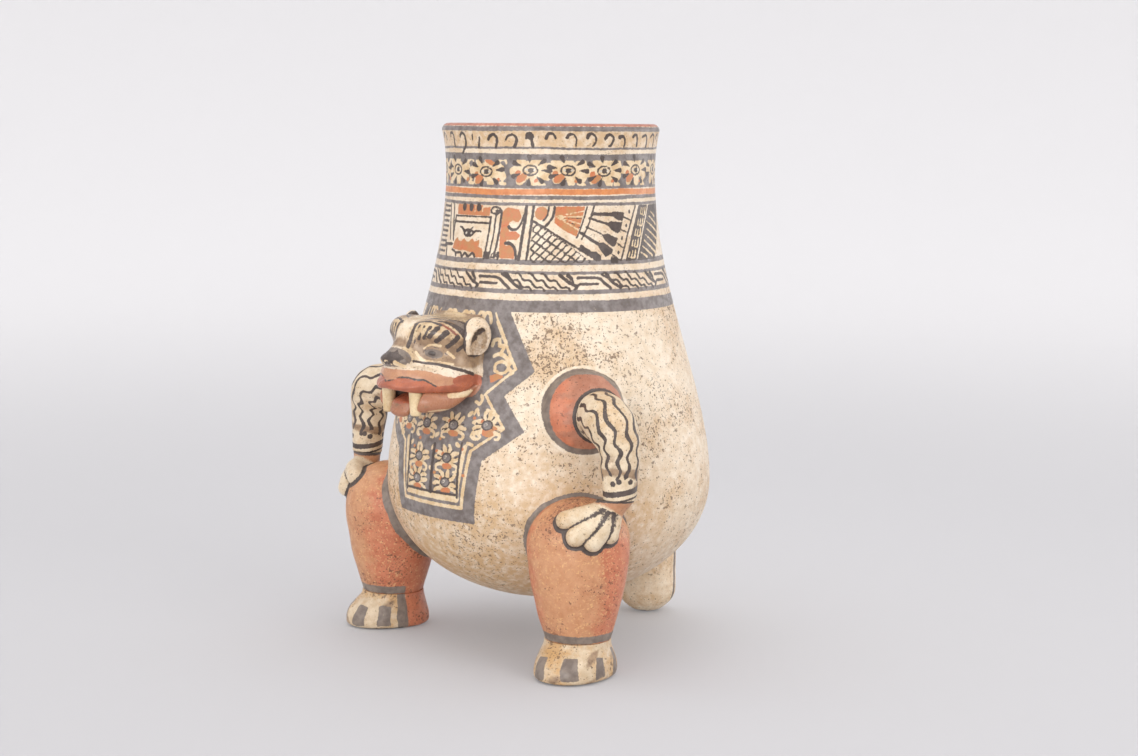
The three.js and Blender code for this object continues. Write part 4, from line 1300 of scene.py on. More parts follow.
class Skinpaint(Painting):
    """A painting whose shapes are given by points in space."""

    def __init__(self, verts, both_sides=False):
        super().__init__()
        self.P = mirror_x(verts) if both_sides else verts

    def put(self, name, distance):
        self.layers[name] = np.minimum(self.layers.get(name, REACH), distance)

    def stroke(self, name, points, width):
        first, last = (width, width) if np.isscalar(width) else width
        path = smooth_path(points, 4) if len(points) > 2 else np.array(points, float)
        half = np.linspace(first, last, len(path))[:, None] / 2
        self.put(name, along(self.P, np.hstack([path, half]))[0])

    def blob(self, name, centre, half, angles=None):
        self.put(name, ellipsoid(self.P, centre, half, angles))


def paint_head(verts):
    c = Skinpaint(verts, True)
    x, z = c.P[:, 0], c.P[:, 2]
    q = ahead_of_root(c.P)
    c.put("wash", np.maximum(186.5 + 0.05 * q - z, 5.0 - x))
    c.put("wash", 211.4 - z + 1.5 * lumps(c.P, 15, 2))
    socket = ellipsoid(c.P, EYE + vec(3.0, 4.0, 1.4), (20.0, 10.0, 9.6), (0, 12, 47))
    under_ear_shade = ellipsoid(c.P, (31.0, -94.0, 192.0), (10.0, 17.0, 10.0))
    bridge = ellipsoid(c.P, (0, -117.0, 198.0), (9.6, 12.0, 6.4))
    # painted shade: brown in the eye socket under the brow
    c.put("brown", smooth_max(socket, 185.4 - z, 2) + 0.6)
    # painted shade: brown below the ear
    c.put("brown", smooth_max(under_ear_shade, 182.2 + 0.12 * q - z, 2))
    c.put("brown", smooth_max(210.6 + 0.03 * x - z, 9.0 - x, 3) + 0.9)
    c.put("brown", smooth_max(bridge, 190.0 - z, 2) + 1.6)
    for points, width in [
        ([(7.6, -115.5, 211.0), (7.8, -120.0, 204.5), (6.9, -122.5, 196.5)], 2.6),
        ([
            (5.8, -116.6, 210.2), (10.6, -114.0, 211.6), (16.6, -111.8, 211.6),
            (22.7, -109.9, 210.0),
        ], (1.6, 1.8)),
        ([
            (4.0, -113.0, 213.2), (12.0, -107.0, 213.2), (20.0, -100.0, 212.8),
            (27.0, -93.0, 210.7),
        ], (1.6, 3.2)),
        ([(3.0, -104.0, 213.4), (10.0, -98.0, 213.6), (18.0, -92.0, 212.8)], (1.2, 2.4)),
    ]:
        c.stroke("ink", points, width)
    # painted shade: brown in front of the ear, between it and the crown line
    c.stroke("brown", [(22.0, -104.0, 211.4), (27.6, -99.0, 208.4), (30.0, -94.0, 205.0)], 5.6)
    c.stroke("ink", [(29.4, -98.4, 206.6), (30.6, -94.6, 202.6)], (1.6, 3.2))
    c.stroke("grey", [
        (11.0, -107.0, 213.0), (18.0, -103.0, 212.8), (25.0, -98.0, 210.6), (29.6, -94.0, 207.0),
    ], (3.0, 9.0))
    c.stroke("ink", [
        (19.0, -108.6, 211.8), (25.0, -104.0, 210.0), (29.6, -99.4, 206.2), (31.8, -95.0, 200.6),
        (32.2, -92.4, 194.0),
    ], (1.6, 7.0))
    c.stroke("pale", [(14.0, -104.6, 213.2), (19.0, -101.4, 212.6)], (1.0, 1.4))
    c.blob("pale", (31.6, -97.4, 197.6), (1.6, 1.6, 1.5))
    c.blob("pale", (32.4, -95.6, 191.4), (1.4, 1.6, 2.4))
    c.stroke("grey", [(30.4, -97.4, 197.0), (31.6, -93.0, 193.4), (31.4, -89.0, 190.0)], (3.0, 5.0))
    c.stroke("pale", [(30.9, -95.4, 195.0), (31.6, -92.2, 191.6)], (1.4, 1.0))
    c.stroke("rust", [(20.5, -110.4, 210.8), (26.8, -106.4, 207.6), (29.5, -102.0, 203.0)], 1.7)
    # from the brow towards the eye
    for a, b, width in [
        ((11.4, -117.0, 209.4), (9.8, -119.6, 199.0), 1.6),
        ((14.6, -116.0, 208.8), (12.2, -118.6, 201.4), 1.9),
        ((18.2, -114.4, 208.4), (15.2, -117.2, 202.0), 2.5),
        ((22.2, -112.2, 208.2), (18.4, -115.8, 202.8), 3.4),
        ((26.3, -108.7, 205.6), (21.2, -112.6, 200.2), 3.8),
        ((29.5, -102.6, 202.4), (25.5, -107.2, 197.0), 3.6),
        ((30.4, -96.4, 198.4), (28.4, -101.6, 194.6), 2.8),
    ]:
        c.stroke("ink", [a, b], (width, width * 0.8))
    c.stroke("pale", [
        (1.6, -108.0, 213.2), (9.0, -103.0, 213.4), (14.0, -96.5, 213.0), (21.6, -91.0, 212.0),
    ], 1.8)
    c.blob("grey", EYE + vec(0.4, -0.6, -0.2), (5.8, 3.0, 2.7), EYE_TURN)
    c.blob("ink", EYE + vec(-0.6, -1.0, 0.0), (2.6, 2.6, 1.5), EYE_TURN)
    c.stroke("ink", [
        (13.6, -116.6, 193.4), (17.4, -114.2, 196.4), (22.0, -110.4, 195.6), (25.0, -106.8, 191.8),
    ], (0.5, 0.6))
    for points, width in [
        ([(14.4, -116.3, 195.8), (17.6, -113.9, 198.0), (22.4, -110.1, 197.6)], (0.8, 1.8)),
        ([(11.2, -119.6, 193.4), (13.1, -118.3, 190.2), (16.1, -116.1, 188.4)], (2.0, 1.4)),
        ([(25.2, -106.6, 193.6), (27.4, -103.9, 190.6)], 1.8),
        ([(13.0, -118.4, 188.9), (21.4, -112.4, 188.2), (28.0, -105.0, 186.6)], 1.2),
    ]:
        c.stroke("pale", points, width)
    c.stroke("ink", [
        (8.6, -123.0, 188.6), (14.6, -117.2, 187.3), (21.4, -112.3, 186.6), (26.3, -107.6, 185.2),
        (30.6, -100.2, 182.8), (31.0, -91.7, 180.0), (32.1, -84.7, 176.6),
    ], (1.4, 2.4))
    nose = ellipsoid(c.P, (0, -127.0, 189.4), (12.0, 9.0, 6.6), (-16, 0, 0))
    nose_tip = ellipsoid(c.P, (0, -129.6, 189.4), (9.8, 8.0, 5.0), (-16, 0, 0))
    c.put("grey", smooth_max(nose, 184.6 - z, 1))
    c.put("ink", smooth_max(nose_tip, 185.6 - z, 1) + 1.2 * lumps(c.P, 7, 4))
    c.stroke("ink", [(0.0, -132.6, 191.0), (6.4, -131.0, 190.0), (9.8, -127.4, 188.6)], (1.0, 1.6))
    c.stroke("pale", [(0.6, -134.0, 188.6), (2.6, -134.0, 187.0), (3.6, -133.2, 186.0)], (1.0, 2.0))
    c.stroke("pale", [
        (6.6, -132.2, 187.4), (8.6, -130.4, 186.4), (10.4, -127.6, 185.2),
    ], (3.4, 2.0))
    lip = np.interp(
        x, [0, 9, 15, 19, 25, 29.6, 31], [183.6, 183.3, 183.4, 183.2, 181.0, 178.6, 177.0],
    ) - 3.0 * ramp(16, 0, q)
    c.put("tan", z - lip)
    red = np.interp(x, [0, 4, 7, 12, 17, 20, 23, 26, 31], [
        176.2, 177.0, 178.4, 178.9, 177.6, 177.4, 176.0, 174.0, 174.6,
    ])
    c.put("red", z - red)
    c.blob("red", (30.0, -95.0, 176.4), (6.0, 12.0, 3.8), (0, 6, 8))
    c.stroke("ink", [
        (0, -134.0, 176.4), (3.5, -132.5, 177.2), (7.0, -131.0, 178.5), (12.4, -128.2, 179.0),
        (17.5, -124.7, 177.8), (20.3, -121.7, 177.8), (23.3, -119.0, 176.0), (26.0, -116.1, 173.6),
    ], (1.3, 1.2))
    c.stroke("ink", [
        (9.2, -128.8, 184.2), (14.7, -124.5, 184.3), (19.2, -119.4, 183.9), (24.9, -113.5, 181.9),
    ], 0.6)
    for along_cheek, height in [
        (-119, 186.2), (-116, 184.6), (-113, 185.6), (-110.6, 183.4), (-108, 184.4),
        (-105.4, 182.4), (-103, 183.6), (-100, 181.6), (-97.6, 182.6),
    ]:
        at = 19.4 - (along_cheek + 119) * 0.52
        c.stroke("ink", [
            (at, along_cheek, height), (at + 0.5, along_cheek + 0.6, height - 0.7),
        ], 0.9)
    # painted shade: dark on the underside of the upper jaw, inside the mouth
    c.put("dark", z - 169.6)
    return c.fields()


def paint_jaw(verts):
    c = Skinpaint(verts, True)
    x, z = c.P[:, 0], c.P[:, 2]
    q = ahead_of_root(c.P)
    c.stroke("pale", [
        (27.6, -107.4, 167.4), (29.6, -100.6, 167.8), (29.4, -92.0, 168.6),
    ], (3.2, 3.6))
    c.stroke("pale", [
        (20.0, -118.6, 158.8), (25.6, -110.6, 159.2), (26.0, -99.0, 159.8), (23.6, -92.0, 162.6),
    ], 1.6)
    c.put("brown", smooth_max(161.5 - 0.05 * q - z, z - 162.6, 1.0) + 2.0 * lumps(c.P, 14, 3) + 1.2)
    # painted shade: dark in the mouth hollow on both sides of the tongue
    mouth_shade = ellipsoid(c.P, (0, -131.0, 168.0), (18.0, 34.0, 15.0))
    c.put("dark", smooth_max(mouth_shade, 6.6 - x + np.clip(q - 20, 0, 9) * 0.4, 2))
    c.blob("red", (0, -118.0, 162.5), (10.4, 7.0, 5.0))
    return c.fields()


def paint_ear(verts):
    c = Skinpaint(verts)
    Q = verts - EAR
    hollow = ellipsoid(verts, EAR + EAR_HOLLOW, EAR_HOLLOW_HALF + vec(0.3, 0.4, 0.4), EAR_TURN)
    c.put("brown", hollow)
    c.put("ink", Q @ EAR_FACING + 2.4)
    c.put("ink", Q @ vec(0.97, 0.24, 0) + 2.6 + 0.8 * lumps(verts, 8, 3))
    c.put("ink", smooth_max(hollow, Q @ vec(0.4, 0.6, -0.7) - 1.4, 1.0))
    c.put("ink", verts[:, 2] - 191.5)
    c.put("ink", smooth_max(Q @ vec(0.57, 0.82, 0) + 6.0, verts[:, 2] - 201.0, 1.0))
    c.stroke("pale", [(28.6, -97.0, 200.6), (29.6, -94.4, 198.0)], (1.8, 1.4))
    return c.fields()


def paint_boss(verts):
    c = Skinpaint(verts)
    across, _ = boss_frame(verts)
    c.put("grey", 22.8 + 0.5 * lumps(verts, 14, 3) - across)
    c.put("cream", 26.0 + 0.8 * lumps(verts, 26, 3) - across)
    front = (verts - boss_centre()) @ around(SHOULDER_ANGLE - 90, 1.0, 0.0)
    c.put("flush", (12.0 - front) * 0.3 + 1.5 * lumps(verts * vec(1, 1, 2.5), 16, 5))
    arm, _ = along(verts, ARM_PATH)
    c.put("ink", arm - 1.6)
    return c.fields()


ARM_SPAN = float(length(np.diff(ARM_PATH[:, :3], axis=0)).sum())
ARM_KNOTS = 61
ARM_BLUR = 5.0
ARM_LINES = 11
ARM_SPOTS = 9


def half_turn(angle):
    """An angle brought to within half a turn either way."""
    return (angle + math.pi) % (2 * math.pi) - math.pi


def paint_arm(verts):
    """Wavy lines along the bent arm, then a band and spots at its wrist."""
    c = Skinpaint(verts)
    place = np.linspace(0, len(ARM_PATH) - 1, ARM_KNOTS)
    whole = np.arange(len(ARM_PATH))
    knots = np.stack([np.interp(place, whole, column) for column in ARM_PATH.T], -1)
    apart = ((verts[:, None] - knots[None, :, :3]) ** 2).sum(-1)
    weight = np.exp((apart.min(1)[:, None] - apart) / (2 * ARM_BLUR**2))
    weight /= weight.sum(1)[:, None]
    steps = np.arange(ARM_KNOTS)
    at = weight @ steps
    run = at / (ARM_KNOTS - 1) * ARM_SPAN  # millimetres from the shoulder
    blended = lambda values: np.stack([np.interp(at, steps, column) for column in values.T], -1)
    side = around(ARM_ANGLE + 90, 1.0, 0.0)
    along_dir = blended(np.gradient(knots[:, :3], axis=0))
    along_dir /= length(along_dir)[:, None]
    top = np.cross(along_dir, side)
    off = verts - blended(knots[:, :3])
    angle = np.arctan2((off * side).sum(-1), (off * top).sum(-1))
    radius = np.interp(at, steps, knots[:, 3])
    z = verts[:, 2]
    low = np.maximum(124.6 + 2.0 * np.sin(angle * 5) - z, 13.5 - run)
    for i in range(ARM_LINES):
        centre = 2 * math.pi * i / ARM_LINES + 0.14
        sway = 0.10 * np.sin(run * 0.58 + 1.1 * i) + 0.06 * np.sin(run * 0.19 + 2.3 * i)
        sway *= ramp(8, 26, run)
        turn_off = half_turn(angle - centre - sway)
        wide = 1.15 + 0.25 * np.sin(run * 0.33 + i)
        c.put("ink", np.maximum(np.abs(turn_off) * radius - wide, low))
    c.put("ink", np.abs(run - 11.4 - 0.4 * np.sin(angle * 3)) - 0.9)
    c.put("brown", np.abs(z - 127.5 + 2.0 * np.sin(angle * 2)) - 2.2 + 2.2 * lumps(verts, 12, 4))
    c.put("brown", 3.4 - 3.2 * lumps(verts, 19, 5))
    slant = z + 0.2 * (verts - WRIST) @ around(ARM_ANGLE - 75, 1.0, 0.0)
    c.put("ink", np.abs(slant - 117.0) - 1.7)
    c.put("ink", np.abs(slant - 112.6) - 0.6)
    for i in range(ARM_SPOTS):
        a = 2 * math.pi * (i + 0.5 * (i % 2)) / ARM_SPOTS + 0.3
        spot = np.hypot(half_turn(angle - a) * radius, z - 122.8 - 1.2 * math.sin(i * 2.4))
        c.put("ink", (spot - 1.7) * 0.9)
    return c.fields()


def paint_hand(verts):
    c = Skinpaint(verts)
    reach = (verts - WRIST) @ WRIST_AXIS
    front = (verts - WRIST) @ around(-15, 1.0, 0.0)
    c.put("clay", reach - 11.0 + 0.6 * np.clip(front, -9, 18) + 1.4 * lumps(verts, 12, 2))
    c.put("ink", np.abs(reach - 0.4) - 0.9)
    apart = np.sort(np.stack([along(verts, finger)[0] for finger in FINGERS]), 0)
    knuckles = 9.0 - 0.3 * front - reach + 1.5 * lumps(verts, 7, 4)
    c.put("ink", np.maximum((apart[1] - apart[0]) * 0.45 - 0.4, knuckles))
    c.put("ink", np.abs(leg_tube(verts)) - 1.3)
    return c.fields()


def leg_angle(verts, centre=0.0):
    """Degrees round the leg from straight ahead, outwards positive, counted from a centre."""
    Q = verts - LEG_CENTRE
    return (np.degrees(np.arctan2(Q[:, 0], -Q[:, 1])) - centre + 180) % 360 - 180


def paint_leg(verts):
    c = Skinpaint(verts)
    z = verts[:, 2]
    out = leg_angle(verts)
    blot = lumps(verts * vec(1, 1, 0.35), 30, 2) + 0.5 * lumps(verts, 11, 4)
    c.put("flush", np.maximum(np.abs(out - 100) * 0.5 - 12.5, (z - 90) * 0.6) * 0.26 + blot)
    c.put("flush", (out + 24 + 0.15 * (z - 60)) * 0.07 + 1.3 * blot)
    c.put("flush", np.abs(out - 180) * 0.1 - 4 + 1.2 * blot)
    inner = ramp(-10, -50, out) * ramp(104, 94, z)
    c.put("grey", wall_distance(verts) - 1.6 - 4.6 * inner - 0.4 * lumps(verts, 20, 1))
    ankle = np.abs(z - 25.8 - 0.3 * lumps(verts, 22, 5)) - 2.4
    c.put("grey", smooth_max(ankle, (-74 - out) * 0.4, 1.0))
    c.put("ink", hand_form(verts) - 1.2)
    return c.fields()


# Degrees round the foot, half width, lowest and highest point
TOE_MARKS = [
    (-99, 4.8, 1.0, 26.0), (-70, 4.9, 2.6, 15.6), (-35, 4.6, 2.0, 15.0),
    (5, 5.3, 3.6, 16.0), (49, 4.6, 3.0, 15.2), (91, 4.0, 1.0, 18.0),
]


def paint_foot(verts):
    c = Skinpaint(verts)
    z = verts[:, 2]
    ahead_of = leg_angle(verts, 32.0)
    for place, wide, low, top in TOE_MARKS:
        s = (ahead_of - place) * 0.47 + 0.6 * lumps(verts, 11, 3)
        upright = np.abs(z - (low + top) / 2) - (top - low) / 2 + 0.6 * lumps(verts, 8, 6)
        c.put("grey", smooth_max(np.abs(s) - wide + 0.05 * z, upright, 1.0))
    c.put("flush", (106 - np.abs(ahead_of)) * 0.42)
    c.put("brown", 3.2 - 3.6 * lumps(verts, 13, 7))
    c.put("dark", z - 0.9 - 0.5 * lumps(verts, 9, 1))
    return c.fields()


def paint_tail(verts):
    c = Skinpaint(verts)
    Q, z = verts - TAIL_CENTRE, verts[:, 2]
    line = np.abs(Q[:, 1] - 9.0 - 0.06 * (z - 30)) - 1.7
    c.put("grey", line + np.maximum(10 - z, 0))
    c.put("dark", z - 1.2 - 0.5 * lumps(verts, 9, 1))
    return c.fields()


# Materials


def srgb(r, g, b):
    c = [v / 255 for v in (r, g, b)]
    return tuple(v / 12.92 if v <= 0.04045 else ((v + 0.055) / 1.055) ** 2.4 for v in c) + (1.0,)


class Shader:
    """A material and the means to add nodes to it. Sizes are in millimetres."""

    def __init__(self, name):
        self.material = bpy.data.materials.new(name)
        self.material.use_nodes = True
        self.nodes = self.material.node_tree.nodes
        self.links = self.material.node_tree.links
        self.surface = self.nodes["Principled BSDF"]
        self.place = self.nodes.new("ShaderNodeTexCoord").outputs["Object"]

    def feed(self, socket, value):
        if isinstance(value, bpy.types.NodeSocket):
            self.links.new(value, socket)
        else:
            socket.default_value = value

    def maths(self, operation, a, b=0.0, clamp=False):
        node = self.nodes.new("ShaderNodeMath")
        node.operation, node.use_clamp = operation, clamp
        self.feed(node.inputs[0], a)
        self.feed(node.inputs[1], b)
        return node.outputs[0]

    def mix(self, share, a, b):
        node = self.nodes.new("ShaderNodeMix")
        node.data_type = "RGBA"
        for index, value in ((0, share), (6, a), (7, b)):
            self.feed(node.inputs[index], value)
        return node.outputs[2]

    def steps(self, value, low, high, out_low=0.0, out_high=1.0):
        node = self.nodes.new("ShaderNodeMapRange")
        node.interpolation_type = "SMOOTHSTEP"
        for index, item in enumerate((value, low, high, out_low, out_high)):
            self.feed(node.inputs[index], item)
        return node.outputs[0]

    def stretched(self, scale):
        node = self.nodes.new("ShaderNodeMapping")
        self.feed(node.inputs["Vector"], self.place)
        node.inputs["Scale"].default_value = scale
        return node.outputs[0]

    def noise(self, size, detail=3.0, rough=0.55, where=None, seed=0.0):
        node = self.nodes.new("ShaderNodeTexNoise")
        node.noise_dimensions = "4D"
        self.feed(node.inputs["Vector"], where or self.place)
        for key, value in (
            ("W", seed), ("Scale", 1 / (size * MM)), ("Detail", detail), ("Roughness", rough),
        ):
            node.inputs[key].default_value = value
        return node.outputs[0]

    def field(self, name):
        node = self.nodes.new("ShaderNodeAttribute")
        node.attribute_name = name
        return node.outputs["Fac"]

    def bumps(self, height, depth, under=None):
        node = self.nodes.new("ShaderNodeBump")
        node.inputs["Strength"].default_value = 1.0
        self.feed(node.inputs["Distance"], depth * MM)
        self.feed(node.inputs["Height"], height)
        if under:
            self.feed(node.inputs["Normal"], under)
        return node.outputs[0]


CREAM = (srgb(236, 221, 200), srgb(220, 198, 168))
BUFF = (srgb(196, 158, 122), srgb(172, 132, 98))
RED = (srgb(205, 152, 112), srgb(190, 130, 90))
BOSS_RED = (srgb(186, 130, 104), srgb(168, 108, 84))
LIP_RED = (srgb(178, 124, 94), srgb(160, 104, 76))
SPECK = srgb(92, 68, 50)
# the tint of the stains, which on the belly also carry painted shade
STAIN_AND_SHADE_TINT = srgb(198, 158, 108)
GRAIN = srgb(120, 98, 80)
FLECK = srgb(222, 176, 124)
SPECK_ON_RED = srgb(104, 66, 50)
STAIN_ON_RED = srgb(160, 98, 70)
REDS = (RED, BOSS_RED, LIP_RED)
PAINTS = {
    "grey": (srgb(136, 123, 112), srgb(110, 98, 90)),
    # brown is partly painted shade, in the eye sockets and below and in front of the ears;
    # elsewhere it is a brown wash
    "brown": (srgb(170, 142, 112), srgb(134, 108, 84)),
    "wash": (srgb(214, 190, 152), srgb(186, 154, 116)),
    "ground": (srgb(134, 126, 123), srgb(102, 93, 89)),
    "orange": (srgb(218, 142, 86), srgb(200, 122, 72)),
    "tan": (srgb(196, 144, 108), srgb(182, 130, 100)),
    "clay": (srgb(194, 144, 108), srgb(178, 124, 88)),
    "flush": (srgb(203, 126, 92), srgb(188, 108, 76)),
    "red": (srgb(184, 106, 76), srgb(162, 90, 66)),
    "rust": (srgb(150, 84, 60), srgb(120, 70, 54)),
    "pale": (srgb(229, 207, 172), srgb(210, 178, 134)),
    "warm": (srgb(200, 118, 76), srgb(186, 132, 84)),
    "ink": (srgb(84, 72, 67), srgb(62, 52, 48)),
    "pale_line": (srgb(228, 206, 170), srgb(210, 180, 136)),
    "glint": (srgb(222, 212, 196), srgb(190, 178, 160)),
    # dark is painted shade inside the mouth, and also darkens the bottom edge of the feet and tail
    # leg
    "dark": (srgb(70, 54, 42), srgb(96, 72, 54)),
    "rim": (srgb(190, 118, 92), srgb(160, 92, 70)),
    "inside": (srgb(178, 132, 98), srgb(148, 108, 80)),
    "cream": CREAM,
}
WASHES = ("brown", "wash", "flush", "clay")  # thin colours under the specks
UNWORN = ("rim", "inside", "dark", "cream")


def slip(name, base, layers, specks, stains, gloss=0.38, fields=()):
    """Burnished slip: a mottled base, specks, painted layers with worn edges, and grain."""
    s = Shader(name)
    LAYERS[s.material.name] = layers
    fine = s.noise(0.7, 3.0)
    middle = s.noise(5.0, 4.0, 0.6, seed=1.0)
    broad = s.noise(32.0, 4.0, 0.6, seed=2.0)
    edge = s.maths("MULTIPLY", s.maths("SUBTRACT", s.noise(1.6, 3.0, 0.6, seed=3.0), 0.5), 1.5)
    colour = s.mix(s.steps(middle, 0.28, 0.78), *base)
    blotches = s.maths("MULTIPLY", s.noise(3.0, 4.0, 0.7, seed=4.0), 0.35)
    stain_and_shade = s.steps(s.maths("ADD", broad, blotches), 0.62, 0.86, 0.0, stains)
    # a placed field adds to it: stains, and on the belly also painted shade
    if "stain_and_shade" in fields:
        placed = s.maths("MULTIPLY", s.field("stain_and_shade"), s.steps(middle, 0.2, 0.62))
        stain_and_shade = s.maths("MAXIMUM", stain_and_shade, placed)
    colour = s.mix(stain_and_shade, colour, STAIN_ON_RED if base in REDS else STAIN_AND_SHADE_TINT)
    dense = s.steps(broad, 0.35, 0.65, 0.03 * specks, -0.045 * specks)
    if "specks" in fields:
        dense = s.maths("ADD", dense, s.maths("MULTIPLY", s.field("specks"), -0.06))
    small = s.maths("SUBTRACT", s.noise(1.25, 1.5, 0.5, seed=5.0), dense)
    large = s.maths("SUBTRACT", s.noise(2.7, 2.5, 0.55, seed=6.0), dense)
    dots = s.maths(
        "MAXIMUM", s.steps(small, 0.655, 0.70), s.steps(large, 0.655, 0.70, 0.0, 0.8), True,
    )
    dots = s.maths("MULTIPLY", dots, min(specks, 1.0) * 0.85)
    chips = s.steps(s.noise(2.2, 4.0, 0.7, seed=7.0), 0.66, 0.73)
    rubs = s.steps(s.noise(9.0, 5.0, 0.7, seed=8.0), 0.66, 0.74, 0.0, 0.7)
    kept = s.maths("SUBTRACT", 1.0, s.maths("MULTIPLY", s.maths("MAXIMUM", chips, rubs), 0.75))
    speck = SPECK_ON_RED if base in REDS else SPECK
    painted = 0.0
    washes = [layer for layer in layers if layer in WASHES]
    solid = [layer for layer in layers if layer not in WASHES]
    for layer in [*washes, None, *solid]:
        if layer is None:
            if base is RED:
                flecks = s.steps(s.noise(1.5, 2.0, 0.6, seed=11.0), 0.57, 0.66, 0.0, 0.7)
                colour = s.mix(flecks, colour, FLECK)
            colour = s.mix(dots, colour, speck)
            continue
        soft, ragged = (1.3, s.maths("MULTIPLY", edge, 2.4)) if layer in WASHES else (0.16, edge)
        share = s.steps(s.maths("ADD", s.field(layer), ragged), soft, -soft)
        if layer not in UNWORN:
            share = s.maths("MULTIPLY", share, kept)
        tone = s.mix(s.steps(middle, 0.36, 0.66), *PAINTS[layer])
        colour = s.mix(share, colour, tone)
        painted = s.maths("MAXIMUM", painted, share)
    colour = s.mix(s.steps(fine, 0.3, 0.75, 0.0, 0.16), colour, GRAIN)
    s.feed(s.surface.inputs["Base Color"], colour)
    rough = s.maths(
        "ADD", s.steps(middle, 0.3, 0.7, gloss - 0.04, gloss + 0.12),
        s.maths("MULTIPLY", dots, 0.2),
    )
    s.feed(s.surface.inputs["Roughness"], rough)
    burnish = s.noise(1.1, 2.0, 0.5, s.stretched((1.0, 1.0, 0.16)), 9.0)
    relief = s.bumps(s.noise(14.0, 2.0, seed=10.0), 0.35)
    relief = s.bumps(s.maths("ADD", burnish, s.maths("MULTIPLY", fine, 0.6)), 0.045, relief)
    pits = s.maths("SUBTRACT", s.maths("MULTIPLY", painted, 0.35), s.maths("MULTIPLY", dots, 0.9))
    s.feed(s.surface.inputs["Normal"], s.bumps(pits, 0.05, relief))
    return s.material


# Vessel


def lip(from_degrees, to_degrees, steps):
    a = np.radians(np.linspace(from_degrees, to_degrees, steps))
    return np.stack([
        RIM_RADIUS - LIP_RADIUS + LIP_RADIUS * np.cos(a), LIP_LEVEL + LIP_RADIUS * np.sin(a),
    ], -1)


def outer_rows(low, high, step):
    """Points of the outside between two heights, evenly spaced along it."""
    at = lambda z: np.interp(z, PROFILE[:, 1], PROFILE_LENGTH)
    count = max(int(round((at(high) - at(low)) / step)), 1)
    d = np.linspace(at(low), at(high), count + 1)
    return np.stack([np.interp(d, PROFILE_LENGTH, PROFILE[:, i]) for i in (0, 1)], -1)


def inner_rows(low, high, count):
    """Points of the inside between two heights, from the top down."""
    z = np.linspace(high, low, count)
    lean = wall_lean(z)
    return np.stack([wall_radius(z) - WALL * np.sqrt(1 + lean**2), z], -1)


neck_profile = np.vstack([
    outer_rows(SEAM_LEVEL, LIP_LEVEL, 0.8),
    lip(15, 165, 9),
    inner_rows(SEAM_LEVEL + 4.3, LIP_LEVEL, 12)[:-1],
    inner_rows(SEAM_LEVEL + 4.3, SEAM_LEVEL + 4.4, 2)[1:],
])
neck_angles = np.radians(np.linspace(0, 360, 600, endpoint=False))
verts, faces = turned(neck_profile, neck_angles)
NECK = slip("painted_neck", CREAM, (
    "ground", "orange", "pale", "warm", "ink", "pale_line", "glint", "inside", "rim",
), 0.7, 0.6, 0.3, ("stain_and_shade",))
mesh_object("neck_wall", verts, faces, "neck", "neck_painting", NECK, paint_neck(verts))

t = np.linspace(math.pi / 2, 0, 12)[1:]
depth = BELLY_LEVEL - UNDERSIDE - WALL
inside = np.stack([(BELLY_RADIUS - WALL) * np.sin(t), BELLY_LEVEL - depth * np.cos(t)], -1)
bowl_profile = np.vstack([
    outer_rows(UNDERSIDE, 88, 2.4)[:-1],
    outer_rows(88, SEAM_LEVEL, 0.78),
    inner_rows(BELLY_LEVEL, SEAM_LEVEL + 4.1, 12),
    inside,
])
bowl_profile[0, 0] = bowl_profile[-1, 0] = 0
# closer together in front, where the painting is
front_angles = np.linspace(-47, 47, 256, endpoint=False)
back_angles = np.linspace(47, 313, 150, endpoint=False)
bowl_angles = np.radians(np.concatenate([front_angles, back_angles]))
verts, faces = turned(bowl_profile, bowl_angles)
BOWL = slip(
    "speckled_slip", CREAM, ("ground", "grey", "pale", "warm", "ink", "glint", "inside"), 1.0, 0.6,
    0.38, ("stain_and_shade", "specks"),
)
mesh_object("belly_wall", verts, faces, "belly_bowl", "body_slip", BOWL, paint_bowl(verts))

# Attached pieces

FACE = slip("face_slip", CREAM, (
    "wash", "brown", "tan", "red", "rust", "grey", "ink", "pale", "dark",
), 0.9, 0.5, 0.26)
JAW = slip("jaw_slip", LIP_RED, ("brown", "dark", "red", "pale"), 0.6, 0.6, 0.26)
BOSS = slip("boss_slip", BOSS_RED, ("flush", "grey", "cream", "ink"), 0.9, 0.9, 0.34)
EARTH_RED = slip("leg_slip", RED, ("flush", "grey", "ink"), 1.9, 0.5, 0.4)
LIMB = slip(
    "arm_slip", (srgb(228, 211, 184), srgb(206, 182, 148)), ("clay", "brown", "ink"), 0.8, 0.7,
)
# partly painted shade: a darker copy of the cream slip, holding down the low lamp's light on the
# feet, and partly their browner tone
FOOT_SHADED_CREAM = slip(
    "foot_slip", (srgb(218, 199, 170), srgb(194, 169, 136)), ("brown", "flush", "grey", "dark"),
    1.5, 1.2, 0.34,
)
# painted light: a brighter copy of the cream slip, lifting the tail leg out of the shade at the
# back
TAIL_LIT_CREAM = slip(
    "tail_slip", (srgb(244, 228, 204), srgb(228, 204, 170)), ("grey", "dark"), 0.8, 0.8, 0.42,
)
TOOTH = slip("fang_slip", (srgb(230, 208, 168), srgb(206, 178, 132)), (), 0.3, 0.7, 0.36)
BARE = slip("bare_clay", BUFF, (), 0.6, 0.6, 0.6)

